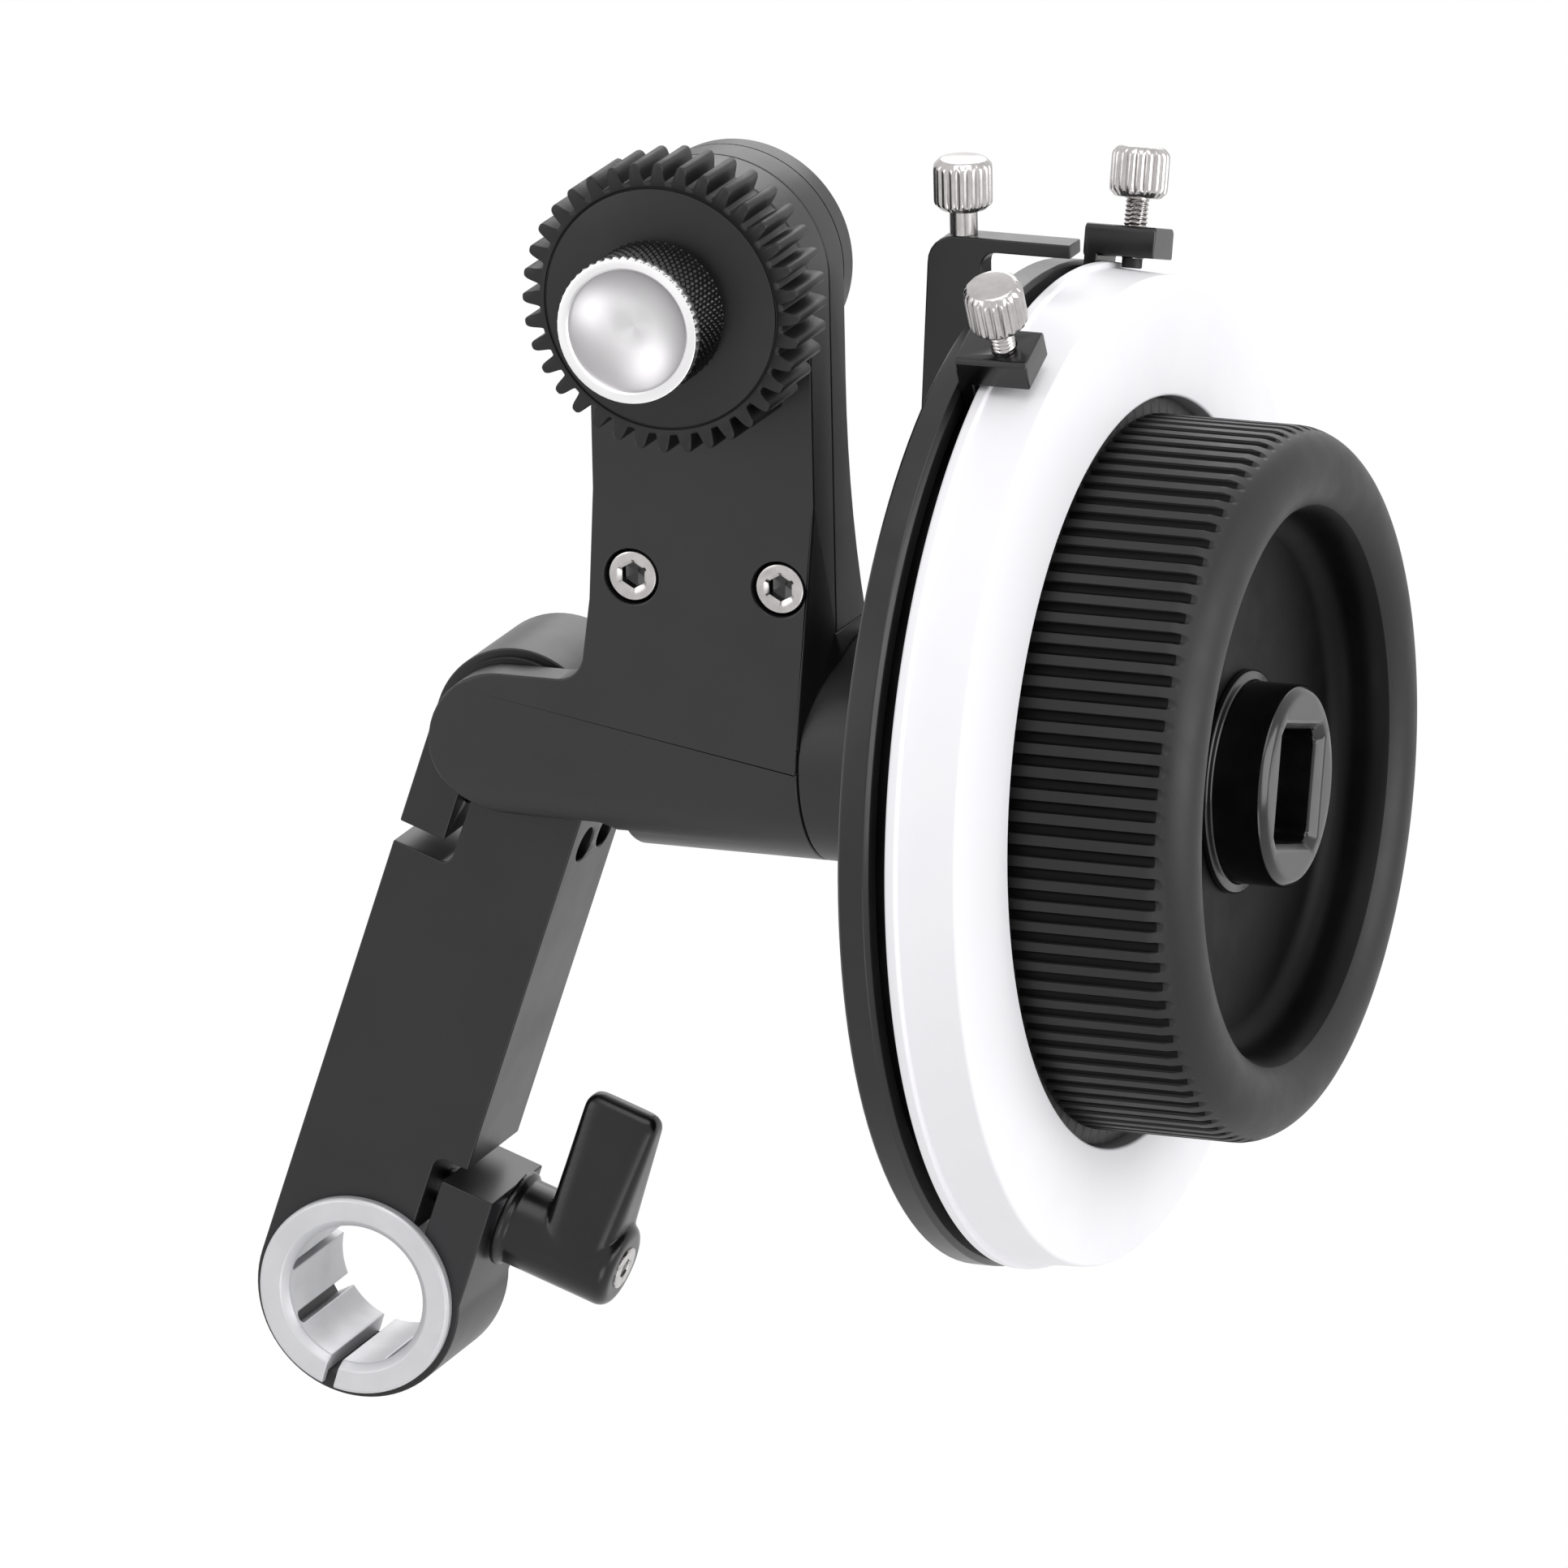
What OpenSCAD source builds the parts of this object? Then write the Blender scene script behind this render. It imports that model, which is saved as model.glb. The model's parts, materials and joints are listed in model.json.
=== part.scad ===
// Follow focus unit for a 15 mm rod: a swing arm with a split rod clamp carries a gearbox,
// and a handwheel turns a lens drive gear through a mitre pair and a toothed belt.
// Origin: centre of the rod bore, halfway through the arm. +X runs along the handwheel's axis,
// +Y away from the lens gear's side, +Z up. Millimetres.

/* [Rod clamp] */
// Diameter of the support rod
rod_d = 15; // [14:0.1:16]
// Wall of the slotted bush round the rod
bush_wall = 2; // [1.6:0.1:2.4]
// How far the bush's flange stands out past its sleeve
bush_lip = 1.2; // [0.8:0.1:1.6]
// Thickness of the bush's flange
bush_flange_t = 1.2; // [0.8:0.1:2]
// Width of the slots in the bush
bush_slot_w = 1.3; // [0.8:0.1:1.8]
// Metal of the arm round the bush
clamp_wall = 1.9; // [1.5:0.1:3]

/* [Swing arm] */
// Width of the arm
arm_w = 18.6; // [18:0.1:20]
// Thickness of the arm along the rod
arm_t = 14; // [12:0.5:18]
// Distance from the pivot to the rod, along the arm
arm_len = 65.6; // [60:0.5:90]
// Lean of the arm from upright, in degrees
arm_tilt = 19.3; // [0:0.1:30]
// Width of the saw cut beside each clamp
slit_w = 1.4; // [1:0.1:2]
// Height of the notch at the end of each saw cut
notch_h = 2.3; // [1.5:0.1:3]
// Height of the clamp jaw's top above the rod's centre
jaw_top = 15.8; // [15:0.1:17]
// Spacing of the two arm screws along the pivot
arm_screw_gap = 5.6; // [5:0.1:7]
// Distance of the arm screws below the pivot
arm_screw_drop = 10; // [9.5:0.1:10.5]

/* [Clamp lever] */
// Height of the lever's axis above the rod's centre
lever_up = 12.2; // [12:0.1:12.6]
// Diameter of the lever's boss
lever_boss_d = 9.4; // [8.6:0.1:10]
// Length of the lever's boss
lever_boss_len = 12.6; // [11:0.1:14]
// Reach of the lever's blade from its axis
lever_reach = 17.4; // [14:0.1:20]
// Width of the blade along its axis
blade_w = 7.8; // [6:0.1:8.4]
// Thickness of the blade at its tip
blade_t = 3.4; // [2.4:0.1:5]
// Diameter of the lever's threaded stud
stud_d = 4; // [3:0.1:4.4]

/* [Gearbox] */
// Diameter of the barrel
barrel_d = 24; // [23.6:0.1:25]
// Height of the tongue that carries the pivot
tongue_h = 16; // [15:0.1:17]
// Distance from the pivot to the lens gear's axis, along the barrel
tower_x = 23.2; // [22.8:0.1:24]
// Distance from the pivot to the seam of the bearing collar
barrel_end = 32.9; // [32.5:0.1:34]
// Height of the lens gear's axis above the handwheel's axis
tower_h = 51.5; // [48:0.1:60]
// Width of the tower
tower_w = 24.4; // [24:0.1:25]
// Thickness of the tower in front of its seam
front_t = 5.5; // [5.4:0.1:6]
// Thickness of the rear cover's plate
cover_t = 4.2; // [4:0.1:4.6]
// How far the round bearing boss stands out behind the cover
boss_t = 3.1; // [2:0.1:4]
// Spacing of the two cover screws
cover_screw_gap = 16.2; // [15.8:0.1:16.6]
// Height of the cover screws above the handwheel's axis
cover_screw_up = 19.7; // [18.8:0.1:24]

/* [Lens gear] */
// Teeth on the lens gear
gear_teeth = 36; // [30:1:40]
// Module of the lens gear
gear_module = 0.8; // [0.7:0.05:0.85]
// Width of the lens gear
gear_w = 8; // [6:0.5:12]
// Gap between the tower and the lens gear
gear_gap = 2.4; // [1.5:0.1:4]
// Diameter of the knob that holds the gear
knob_d = 15.4; // [12:0.1:18]
// Length of that knob
knob_len = 9.2; // [7:0.1:12]

/* [Discs and handwheel] */
// Diameter of the stop disc and the marking disc
disc_d = 103.6; // [100:0.2:112]
// Distance from the pivot to the back of the stop disc
disc_x = 52.8; // [52.4:0.1:58]
// Thickness of the stop disc's rim
stop_rim_t = 3.3; // [3:0.1:4]
// Width of the groove between the two rims
rim_groove = 1.75; // [1.6:0.05:2.2]
// Thickness of the marking disc
marking_t = 8.4; // [6:0.1:10]
// Diameter of the hole in the marking disc
marking_hole_d = 77.3; // [76.8:0.1:84]
// Diameter of the handwheel's grip
grip_d = 73.6; // [70:0.2:74]
// Length of the grip in front of the marking disc
grip_len = 18; // [14:0.1:22]
// Grooves round the grip
grip_grooves = 100; // [60:2:110]
// Diameter of the dish in the grip's front
dish_d = 56; // [52:0.2:57]
// Depth of the dish
dish_depth = 7.6; // [6.8:0.1:8]
// Diameter of the hub's nose
hub_d = 20.8; // [18:0.1:22]
// Side of the square socket in the hub
socket_w = 11.6; // [9:0.1:12]
// Depth of the square socket
socket_depth = 10; // [6:0.5:11]
// Turn of the square socket round its axis, in degrees
socket_turn = -16; // [-45:1:45]

/* [Hard stops and index] */
// Angle of the front hard stop from the top of the rim, in degrees
front_stop_angle = 24; // [20:1:150]
// Angle of the rear hard stop from the top of the rim, in degrees
rear_stop_angle = -16; // [-150:1:-14]
// Length of a stop block across the rims
stop_len = 7.7; // [7.4:0.1:8.2]
// Width of a stop block round the rim
stop_w = 5.8; // [5:0.1:6.2]
// Height of a stop block
stop_h = 3.2; // [2.8:0.1:3.3]
// Distance from a stop block's front face back to its screw
stop_screw_in = 3.25; // [3.05:0.05:3.45]
// Diameter of the thumb screws' heads
thumb_d = 6.1; // [5:0.1:6.4]
// Height of the thumb screws' heads
thumb_h = 5.3; // [4:0.1:7]
// Distance from the stop disc's back to the far side of the index post
index_back = 6.4; // [6:0.1:6.8]
// Width of the index post at its top
index_w = 5.9; // [5.4:0.1:6]
// Depth of the index post
index_t = 3.1; // [2.6:0.1:4]
// Height of the index arm's top above the handwheel's axis
index_top = 57.3; // [57.2:0.1:60]
// Length of the index arm over the rims
index_reach = 15.6; // [14:0.1:17]

/* [Hidden] */
$fn = 96;

// Clearances
fit = 0.02;          // radial clearance of parts that seat in each other
run = 0.04;          // radial clearance of shafts that turn
joint_gap = 0.3;     // gap between faces that move past each other
eps = 0.5;           // how far a cut runs past the metal it cuts

// Hexagon sockets, corner radius
key_m2 = 0.87;
key_m3 = 1.44;
key_m4 = 1.73;

// Rod clamp and arm
rod_r = rod_d / 2;
bush_r = rod_r + bush_wall;
flange_r = bush_r + bush_lip;
clamp_r = bush_r + clamp_wall;
arm_r = arm_w / 2;
clamp_off = clamp_r - arm_r;
jaw_x = clamp_off + clamp_r - 0.5;
jaw_slit_x = clamp_off + 4.2;
pivot_x = arm_len * sin(arm_tilt) - clamp_off * cos(arm_tilt);
axis_z = arm_len * cos(arm_tilt) + clamp_off * sin(arm_tilt);
trunnion_r = 7;
finger_x = -3.4;
finger_drop = 14.3;
notch_round = 1.2;
arm_screw_r = 1;
arm_screw_head_r = 1.9;
arm_screw_head_h = 2;
arm_screw_seat = 3;
arm_screw_tip = -8.2;
stud_r = stud_d / 2;
stud_tip = -4;
stud_collar_r = 3.2;
stud_collar_in = 3.9;   // how far the stud's collar reaches into the lever
stud_back = 4.2;        // how far the stud ends short of the lever's end face
lever_x = jaw_x + 1.2;
boss_r = lever_boss_d / 2;
lever_flange = 0.6;
lever_end = lever_x + lever_boss_len;
lever_screw_r = 1;
lever_screw_len = 8.5;
lever_head_r = 2.3;
lever_head_h = 1.9;
lever_key_r = 1.15;

// Gearbox
barrel_r = barrel_d / 2;
tongue_r = tongue_h / 2;
face_y = -barrel_r;
seam_y = face_y + front_t;
cover_y = seam_y + cover_t;
boss_y = cover_y + boss_t;
tower_r = tower_w / 2;
tower_foot = barrel_r + 1.9;
saddle_foot = 2.5;      // height at which the tower's edge meets the collar
saddle_back = 4;        // how far the tower's foot reaches behind the cover's plate
tongue_back = -arm_t / 2 - joint_gap - 0.7;
washer_r = tongue_r + 0.5;
pivot_cap_t = 1.7;
pivot_screw_r = 2;
pivot_head_r = 3.5;
pivot_head_h = 2.2;
shoulder_x = 12.4;
facet_top = 29;
blend_r = 2.56;
chamber_r = 9.3;
chamber_x = 13.6;

// Drive train
mitre_teeth = 12;
mitre_module = 0.7;
mitre_r = mitre_teeth * mitre_module / 2;
mitre_face = 1.7;
shaft_r = 4;
cross_r = 2;
pinion_shaft_r = 2.2;
output_r = 3;
belt_w = 3;
belt_y = face_y + 3.6;
pulley_r = 4.2;
pulley_flange_r = 5.1;
pulley_flange_t = 0.35;
belt_t = 0.65;
belt_teeth_pitch = 2;
belt_gap = 0.25;     // gap between a pulley's flange and the side of its slot
belt_slot_r = pulley_flange_r + 2 * belt_gap;
input_bearing_r = 8;
input_bearing_w = 5;
input_bearing_1 = barrel_end - 2.9;
input_bearing_2 = disc_x - 7.8;
cross_bearing_r = 3.5;
cross_bearing_w = 2;
cross_back_y = 8.9;
output_bearing_r = 6;
output_front_bearing_r = 5;
output_bearing_w = 2.5;
cover_screw_r = 1.5;
cover_head_r = 2.75;
cover_head_h = 3;

// Lens gear
gear_r = gear_teeth * gear_module / 2 + gear_module;
gear_back = face_y - gear_gap;
gear_front = gear_back - gear_w;
knob_r = knob_d / 2;
knob_front = gear_front - knob_len;
knob_ring_t = 1.2;
dish_r = knob_r - 0.95;
bowl_depth = 2.1;
insert_r = 5.2;
shaft_nose_y = gear_front - 4.5;
insert_back = shaft_nose_y - 0.2;
gear_flange_r = 8.4;
centre_r = 1.2;

// Discs and handwheel
disc_r = disc_d / 2;
marking_step = 0.6;     // how far the marking disc's band lies below its lip
band_r = disc_r - marking_step;
groove_x = disc_x + stop_rim_t;
marking_x = groove_x + rim_groove;
marking_front = marking_x + marking_t;
step_r = disc_r - 4.4;
toe_depth = 1.3;
toe_r = disc_r - 2.4;
marking_lip = 1.2;      // width of the lip at the back of the marking disc's band
marking_taper = 0.3;
marking_cone = 0.9;     // fall of the marking disc's front towards its edge
marking_round = 0.8;
wheel_base_x = marking_front - 1.2;
wheel_base_r = marking_hole_d / 2 - joint_gap;
grip_r = grip_d / 2;
grip_front = marking_front + grip_len;
rim_round = 4.6;
nose_r = grip_r - rim_round;
groove_depth = 0.6;
groove_w = 1.24;
dish_r1 = dish_d / 2;
lip_round = min(4, nose_r - dish_r1 - 0.2);
floor_round = 2.5;
dish_floor = grip_front - dish_depth;
hub_r = hub_d / 2;
hub_base_r = hub_r + 1.1;
hub_base_t = 0.8;
hub_back = 0.9;         // how far the hub stands back from the grip's front
hub_front = grip_front - hub_back;
hub_stem_r = 9;
socket_round = 1.6;
socket_chamfer = 0.9;
shaft_end = marking_x + 8;
hub_screw_r = 2;
hub_screw_in = 9;       // length of the hub screw's thread in the shaft
hub_head_r = 3.5;
hub_head_h = 2.6;
wheel_screw_ring = 26;
wheel_screw_r = 1.5;
wheel_screw_in = 5.5;   // length of the wheel screws' thread in the handwheel
magnet_ring = 44;
magnet_r = 2.5;
magnet_t = 2;

// Hard stops and index
stop_r0 = disc_r + 0.6;
stop_r1 = stop_r0 + stop_h;
stop_x0 = groove_x;
stop_x1 = stop_x0 + stop_len;
stop_screw_x = stop_x1 - stop_screw_in;
stop_thread_r = 1.25;
thumb_r = thumb_d / 2;
front_thumb_up = 2.5;
rear_thumb_up = 2.9;
toe_gap = 0.15;
index_x = disc_x - index_back;
index_y0 = -7.3;
index_arm_t = 1.45;
index_ring_r = barrel_r + 3.4;
ring_lead = 1.4;        // how far the ring reaches past the post, away from the disc
ring_screw_r = 1.5;
index_screw_x = index_x + 3.5;
index_shank_r = 1.45;
index_shank_up = 2.6;
index_thread_r = 1;
index_thread_len = 7;

// Moves a shape modelled from the pivot into place
module at_pivot() translate([pivot_x, 0, axis_z]) children();

// Moves a shape modelled along an upright arm, pivot at the origin, into the leaning arm
module in_arm() at_pivot() rotate([0, arm_tilt, 0]) children();

// A cylinder along +X from x0 to x1
module rod_x(r, x0, x1) translate([x0, 0, 0]) rotate([0, 90, 0]) cylinder(r = r, h = x1 - x0);

// A cylinder along +Y from y0 to y1
module rod_y(r, y0, y1) translate([0, y0, 0]) rotate([-90, 0, 0]) cylinder(r = r, h = y1 - y0);

// A tube along +X and a tube along +Y
module tube_x(r, bore, x0, x1) {
    difference() {
        rod_x(r, x0, x1);
        rod_x(bore, x0 - eps, x1 + eps);
    }
}

module tube_y(r, bore, y0, y1) {
    difference() {
        rod_y(r, y0, y1);
        rod_y(bore, y0 - eps, y1 + eps);
    }
}

// A plate with an outline in X and Z, from y0 to y1
module plate_y(y0, y1)
    translate([0, y1, 0]) rotate([90, 0, 0]) linear_extrude(height = y1 - y0) children();

// A bar with an outline in Y and Z, from x0 to x1
module bar_x(x0, x1)
    translate([x0, 0, 0]) rotate([90, 0, 90]) linear_extrude(height = x1 - x0) children();

// A box given by its low and high corners
module box(low, high) translate(low) cube(high - low);

// A body of revolution about +X, from an outline of [radius, x] points
module turned_x() rotate([0, 90, 0]) rotate_extrude() children();

// A body of revolution about +Y, from an outline of [radius, y] points
module turned_y() rotate([-90, 0, 0]) rotate_extrude() children();

// Points on an arc from angle a0 to a1
function arc(cx, cy, r, a0, a1, n = 8) =
    [for (i = [0:n]) [cx + r * cos(a0 + (a1 - a0) * i / n), cy + r * sin(a0 + (a1 - a0) * i / n)]];

// Rounds the inner corner of a cut: a square of side r less a quarter disc, corner at the origin
module corner_round(r) {
    difference() {
        square(r);
        translate([r, r]) circle(r = r, $fn = 32);
    }
}

// ---- Swing arm and rod clamp ----

module arm_outline() {
    circle(r = arm_r);
    translate([-arm_r, -arm_len]) square([arm_w, arm_len]);
    translate([clamp_off, -arm_len]) circle(r = clamp_r);
    translate([0, -arm_len]) square([jaw_x, jaw_top]);
}

module arm_cuts_outline() {
    // upper clamp: saw cut beside the finger and the notch below it
    translate([finger_x - slit_w / 2, -finger_drop - notch_h + notch_round])
        square([slit_w, finger_drop + notch_h - notch_round]);
    difference() {
        translate([-arm_r - eps, -finger_drop - notch_h])
            square([arm_r + eps + finger_x + slit_w / 2, notch_h]);
        translate([finger_x + slit_w / 2, -finger_drop - notch_h])
            mirror([1, 0]) corner_round(notch_round);
    }
    // lower clamp: saw cut beside the jaw and the notch above it
    translate([jaw_slit_x - slit_w / 2, -arm_len]) square([slit_w, jaw_top + notch_h - notch_round]);
    difference() {
        translate([jaw_slit_x - slit_w / 2, -arm_len + jaw_top]) square([arm_w, notch_h]);
        translate([jaw_slit_x - slit_w / 2, -arm_len + jaw_top + notch_h])
            mirror([0, 1]) corner_round(notch_round);
    }
}

module swing_arm() {
    color([0.13, 0.13, 0.14])
    in_arm() difference() {
        plate_y(-arm_t / 2, arm_t / 2) difference() {
            arm_outline();
            arm_cuts_outline();
        }
        rod_y(trunnion_r + fit, -arm_t, arm_t);
        translate([clamp_off, 0, -arm_len]) rod_y(bush_r + fit, -arm_t, arm_t);
        for (side = [-1, 1]) translate([0, side * arm_screw_gap / 2, -arm_screw_drop]) {
            rod_x(arm_screw_r + fit, arm_screw_tip - 0.3, arm_r + eps);
            rod_x(arm_screw_head_r, arm_screw_seat, arm_r + eps);
        }
        translate([0, 0, lever_up - arm_len]) {
            rod_x(stud_r + fit, stud_tip - 0.4, jaw_slit_x);
            rod_x(stud_r + 0.15, jaw_slit_x, jaw_x + eps);
        }
    }
}

module rod_bush() {
    bush_turn = 18;
    slot_y = -arm_t / 2 + 0.6;
    color([0.93, 0.93, 0.94])
    difference() {
        turned_y() polygon([
            [rod_r + 0.8, -arm_t / 2 - bush_flange_t],
            [flange_r - 0.3, -arm_t / 2 - bush_flange_t],
            [flange_r, -arm_t / 2 - bush_flange_t + 0.3],
            [flange_r, -arm_t / 2],
            [bush_r, -arm_t / 2],
            [bush_r, arm_t / 2],
            [rod_r, arm_t / 2],
            [rod_r, -arm_t / 2 - bush_flange_t + 0.8]]);
        // one slot runs right through the flange, the others stop short of it
        rotate([0, bush_turn, 0]) {
            box([-bush_slot_w / 2, -arm_t, -clamp_r - eps], [bush_slot_w / 2, arm_t, -rod_r + 1]);
            for (turn = [45:45:315]) rotate([0, turn, 0]) {
                box([-bush_slot_w / 2, slot_y, -bush_r - eps], [bush_slot_w / 2, arm_t, -rod_r + 1]);
                translate([0, slot_y, -bush_r - eps])
                    cylinder(r = bush_slot_w / 2, h = bush_wall + eps + 1);
            }
        }
    }
}

module arm_clamp_screws() {
    color([0.7, 0.7, 0.72])
    in_arm() for (side = [-1, 1]) translate([0, side * arm_screw_gap / 2, -arm_screw_drop]) difference() {
        union() {
            rod_x(arm_screw_r, arm_screw_tip, arm_screw_seat + 0.1);
            rod_x(arm_screw_head_r - 0.1, arm_screw_seat, arm_screw_seat + arm_screw_head_h);
        }
        translate([arm_screw_seat + arm_screw_head_h / 2, 0, 0]) rotate([0, 90, 0])
            cylinder(r = key_m2, h = arm_screw_head_h, $fn = 6);
    }
}

// ---- Clamp lever, modelled in the arm's frame ----

module blade_outline() {
    corner = 1.6;
    x1 = lever_end - 1;
    x0 = x1 - blade_w;
    polygon(concat(
        [[x0 - 0.4, 2], [x1, 2]],
        arc(x1 - corner, lever_reach - corner, corner, 0, 90, 6),
        arc(x0 + corner, lever_reach - corner, corner, 90, 180, 6)));
}

// The blade seen along the lever's axis: a teardrop from the boss to the tip
module blade_section() {
    root_r = boss_r - 0.1;
    tip_r = blade_t / 2;
    tip_up = lever_reach - tip_r;
    lean = asin((root_r - tip_r) / tip_up);
    circle(r = root_r);
    translate([0, tip_up]) circle(r = tip_r);
    polygon([
        [root_r * cos(lean), root_r * sin(lean)],
        [tip_r * cos(lean), tip_up + tip_r * sin(lean)],
        [-tip_r * cos(lean), tip_up + tip_r * sin(lean)],
        [-root_r * cos(lean), root_r * sin(lean)]]);
}

module clamp_lever() {
    foot_x = jaw_x + joint_gap;
    flange_r = boss_r + lever_flange;
    color([0.06, 0.06, 0.07])
    in_arm() translate([0, 0, lever_up - arm_len]) difference() {
        union() {
            turned_x() polygon([
                [0, foot_x],
                [flange_r, foot_x],
                [flange_r, lever_x],
                [boss_r, lever_x + 0.2],
                [boss_r, lever_end - 1.4],
                [boss_r - 0.5, lever_end - 0.4],
                [boss_r - 1.4, lever_end],
                [0, lever_end]]);
            intersection() {
                plate_y(-boss_r, boss_r) blade_outline();
                bar_x(lever_x, lever_end) blade_section();
            }
        }
        rod_x(stud_r + fit, jaw_x, lever_end - stud_back + 0.2);
        rod_x(stud_collar_r + fit, jaw_x, lever_x + stud_collar_in + 0.1);
        rod_x(lever_screw_r + 0.3, lever_end - stud_back, lever_end);
        rod_x(lever_head_r + fit, lever_end - lever_head_h, lever_end + eps);
    }
}

module lever_stud() {
    color([0.72, 0.72, 0.74])
    in_arm() translate([0, 0, lever_up - arm_len]) difference() {
        union() {
            rod_x(stud_r, stud_tip, lever_end - stud_back);
            rod_x(stud_collar_r, jaw_x, lever_x + stud_collar_in);
        }
        rod_x(lever_screw_r, lever_end - lever_screw_len - 0.5, lever_end);
    }
}

module lever_screw() {
    color([0.8, 0.8, 0.82])
    in_arm() translate([0, 0, lever_up - arm_len]) difference() {
        union() {
            rod_x(lever_screw_r, lever_end - lever_screw_len, lever_end - lever_head_h + 0.1);
            rod_x(lever_head_r, lever_end - lever_head_h, lever_end + 0.1);
        }
        translate([lever_end - lever_head_h / 2, 0, 0]) rotate([0, 90, 0])
            cylinder(r = lever_key_r, h = lever_head_h, $fn = 6);
    }
}

// ---- Gearbox, modelled from the pivot ----

// The barrel's outline seen from the front, left of its seam
module barrel_outline() {
    step = 2 * blend_r * sin(77.3);
    drop = 2 * blend_r * (1 - cos(77.3));
    x0 = tongue_r + 1.2;
    lower = concat(
        arc(x0, -tongue_r - blend_r, blend_r, 90, 12.7, 6),
        arc(x0 + step, -tongue_r - drop + blend_r, blend_r, 192.7, 270, 6),
        [[x0 + step, -barrel_r - eps], [barrel_end, -barrel_r - eps]]);
    polygon(concat(
        arc(0, 0, tongue_r, 90, 270, 24),
        lower,
        [for (i = [len(lower) - 1:-1:0]) [lower[i][0], -lower[i][1]]]));
}

// The tower's outline seen from the front, down to the barrel
module tower_outline(foot, right_foot) {
    flare = 1.5;
    left = tower_x - tower_r;
    fillet = 3;
    translate([tower_x, tower_h]) circle(r = tower_r);
    polygon(concat(
        [[tower_x + tower_r, tower_h], [left, tower_h]],
        [[left, tower_h / 2 + 3], [left - flare * 0.45, tower_foot + 3]],
        arc(left - flare - fillet, tongue_r + fillet, fillet, 0, -90, 6),
        [[left - flare - fillet, foot], [barrel_end, foot], [barrel_end, right_foot],
            [tower_x + tower_r, right_foot]]));
}

// Room for the belt and its pulleys
module belt_slot() {
    y0 = belt_y - pulley_flange_t - belt_gap;
    y1 = belt_y + belt_w + pulley_flange_t + belt_gap;
    translate([tower_x, 0, 0]) rod_y(belt_slot_r, y0, y1);
    translate([tower_x, 0, tower_h]) rod_y(belt_slot_r, y0, y1);
    box([tower_x - belt_slot_r, y0, 0], [tower_x + belt_slot_r, y1, tower_h]);
}

module cover_screw_places() {
    for (side = [-1, 1]) translate([tower_x + side * cover_screw_gap / 2, 0, cover_screw_up]) children();
}

module gearbox_housing() {
    color([0.14, 0.14, 0.15])
    at_pivot() difference() {
        union() {
            intersection() {
                union() {
                    rod_x(barrel_r, -tongue_r - eps, barrel_end);
                    box([-tongue_r - eps, face_y, 0], [tower_x, seam_y, tongue_r + eps]);
                }
                plate_y(-barrel_r - eps, barrel_r + eps) barrel_outline();
            }
            plate_y(face_y, seam_y) tower_outline(0, saddle_foot);
            box([barrel_end, face_y, saddle_foot], [tower_x + tower_r, cover_y + saddle_back, tower_foot]);
            rod_y(trunnion_r, tongue_back - 1, arm_t / 2 + 0.1);
        }
        // room for the arm's eye behind the tongue
        difference() {
            box([-tongue_r - eps, tongue_back, -barrel_r - eps], [shoulder_x, barrel_r + eps, tower_foot]);
            rod_y(trunnion_r, tongue_back - eps, arm_t / 2 + 0.1);
        }
        rod_x(barrel_r + fit, barrel_end, tower_x + tower_r + eps);
        // sloping facet that narrows the face towards the collar
        translate([tower_x + tower_r, face_y, facet_top]) rotate([0, 5.15, -14.2])
            translate([0, -barrel_r, -facet_top]) cube([5, 2 * barrel_r, facet_top + 5]);
        // chamber for the mitre gears, open towards the collar
        rod_x(chamber_r, chamber_x, barrel_end + eps);
        belt_slot();
        // shafts and their bearings
        translate([tower_x, 0, 0]) {
            rod_y(cross_bearing_r, face_y + 1, 0);
            rod_y(cross_bearing_r, 0, cross_back_y + cross_bearing_w);
        }
        translate([tower_x, 0, tower_h]) {
            rod_y(output_r + 0.3, face_y - eps, 0);
            rod_y(output_front_bearing_r, face_y + 0.8, 0);
        }
        cover_screw_places() {
            rod_y(cover_screw_r + 0.15, face_y - eps, seam_y + eps);
            rod_y(cover_head_r + 0.2, face_y - eps, face_y + cover_head_h + 0.3);
        }
        // thread for the pivot screw
        rod_y(pivot_screw_r + fit, 0, barrel_r);
    }
}

// Side outline of the rear cover: a flat plate that swells towards the barrel
module cover_side_outline() {
    swell_r = 82;
    swell_top = 40;
    polygon(concat(
        [[seam_y, 0], [seam_y, tower_h + tower_r + eps], [cover_y, tower_h + tower_r + eps]],
        [for (i = [0:8]) let (z = swell_top - i * (swell_top - tower_foot + 4) / 8)
            [cover_y + swell_r - sqrt(swell_r * swell_r - pow(swell_top - z, 2)), z]],
        [[cover_y + 4.6, 0]]));
}

module rear_cover() {
    color([0.14, 0.14, 0.15])
    at_pivot() difference() {
        union() {
            intersection() {
                plate_y(seam_y, barrel_r) tower_outline(0, tower_foot);
                bar_x(0, tower_x + tower_r + eps) cover_side_outline();
            }
            translate([tower_x, 0, tower_h]) rod_y(tower_r - 0.2, seam_y + 1, boss_y);
        }
        rod_x(barrel_r + fit, -barrel_r, barrel_end + 20);
        box([barrel_end, seam_y - eps, -eps], [tower_x + tower_r + eps, barrel_r, tower_foot]);
        box([-barrel_r, seam_y - eps, -eps], [shoulder_x, barrel_r, tower_foot]);
        belt_slot();
        translate([tower_x, 0, tower_h]) rod_y(output_bearing_r, seam_y, boss_y - 0.9);
        cover_screw_places() rod_y(cover_screw_r + fit, seam_y - eps, cover_y - 0.6);
    }
}

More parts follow.
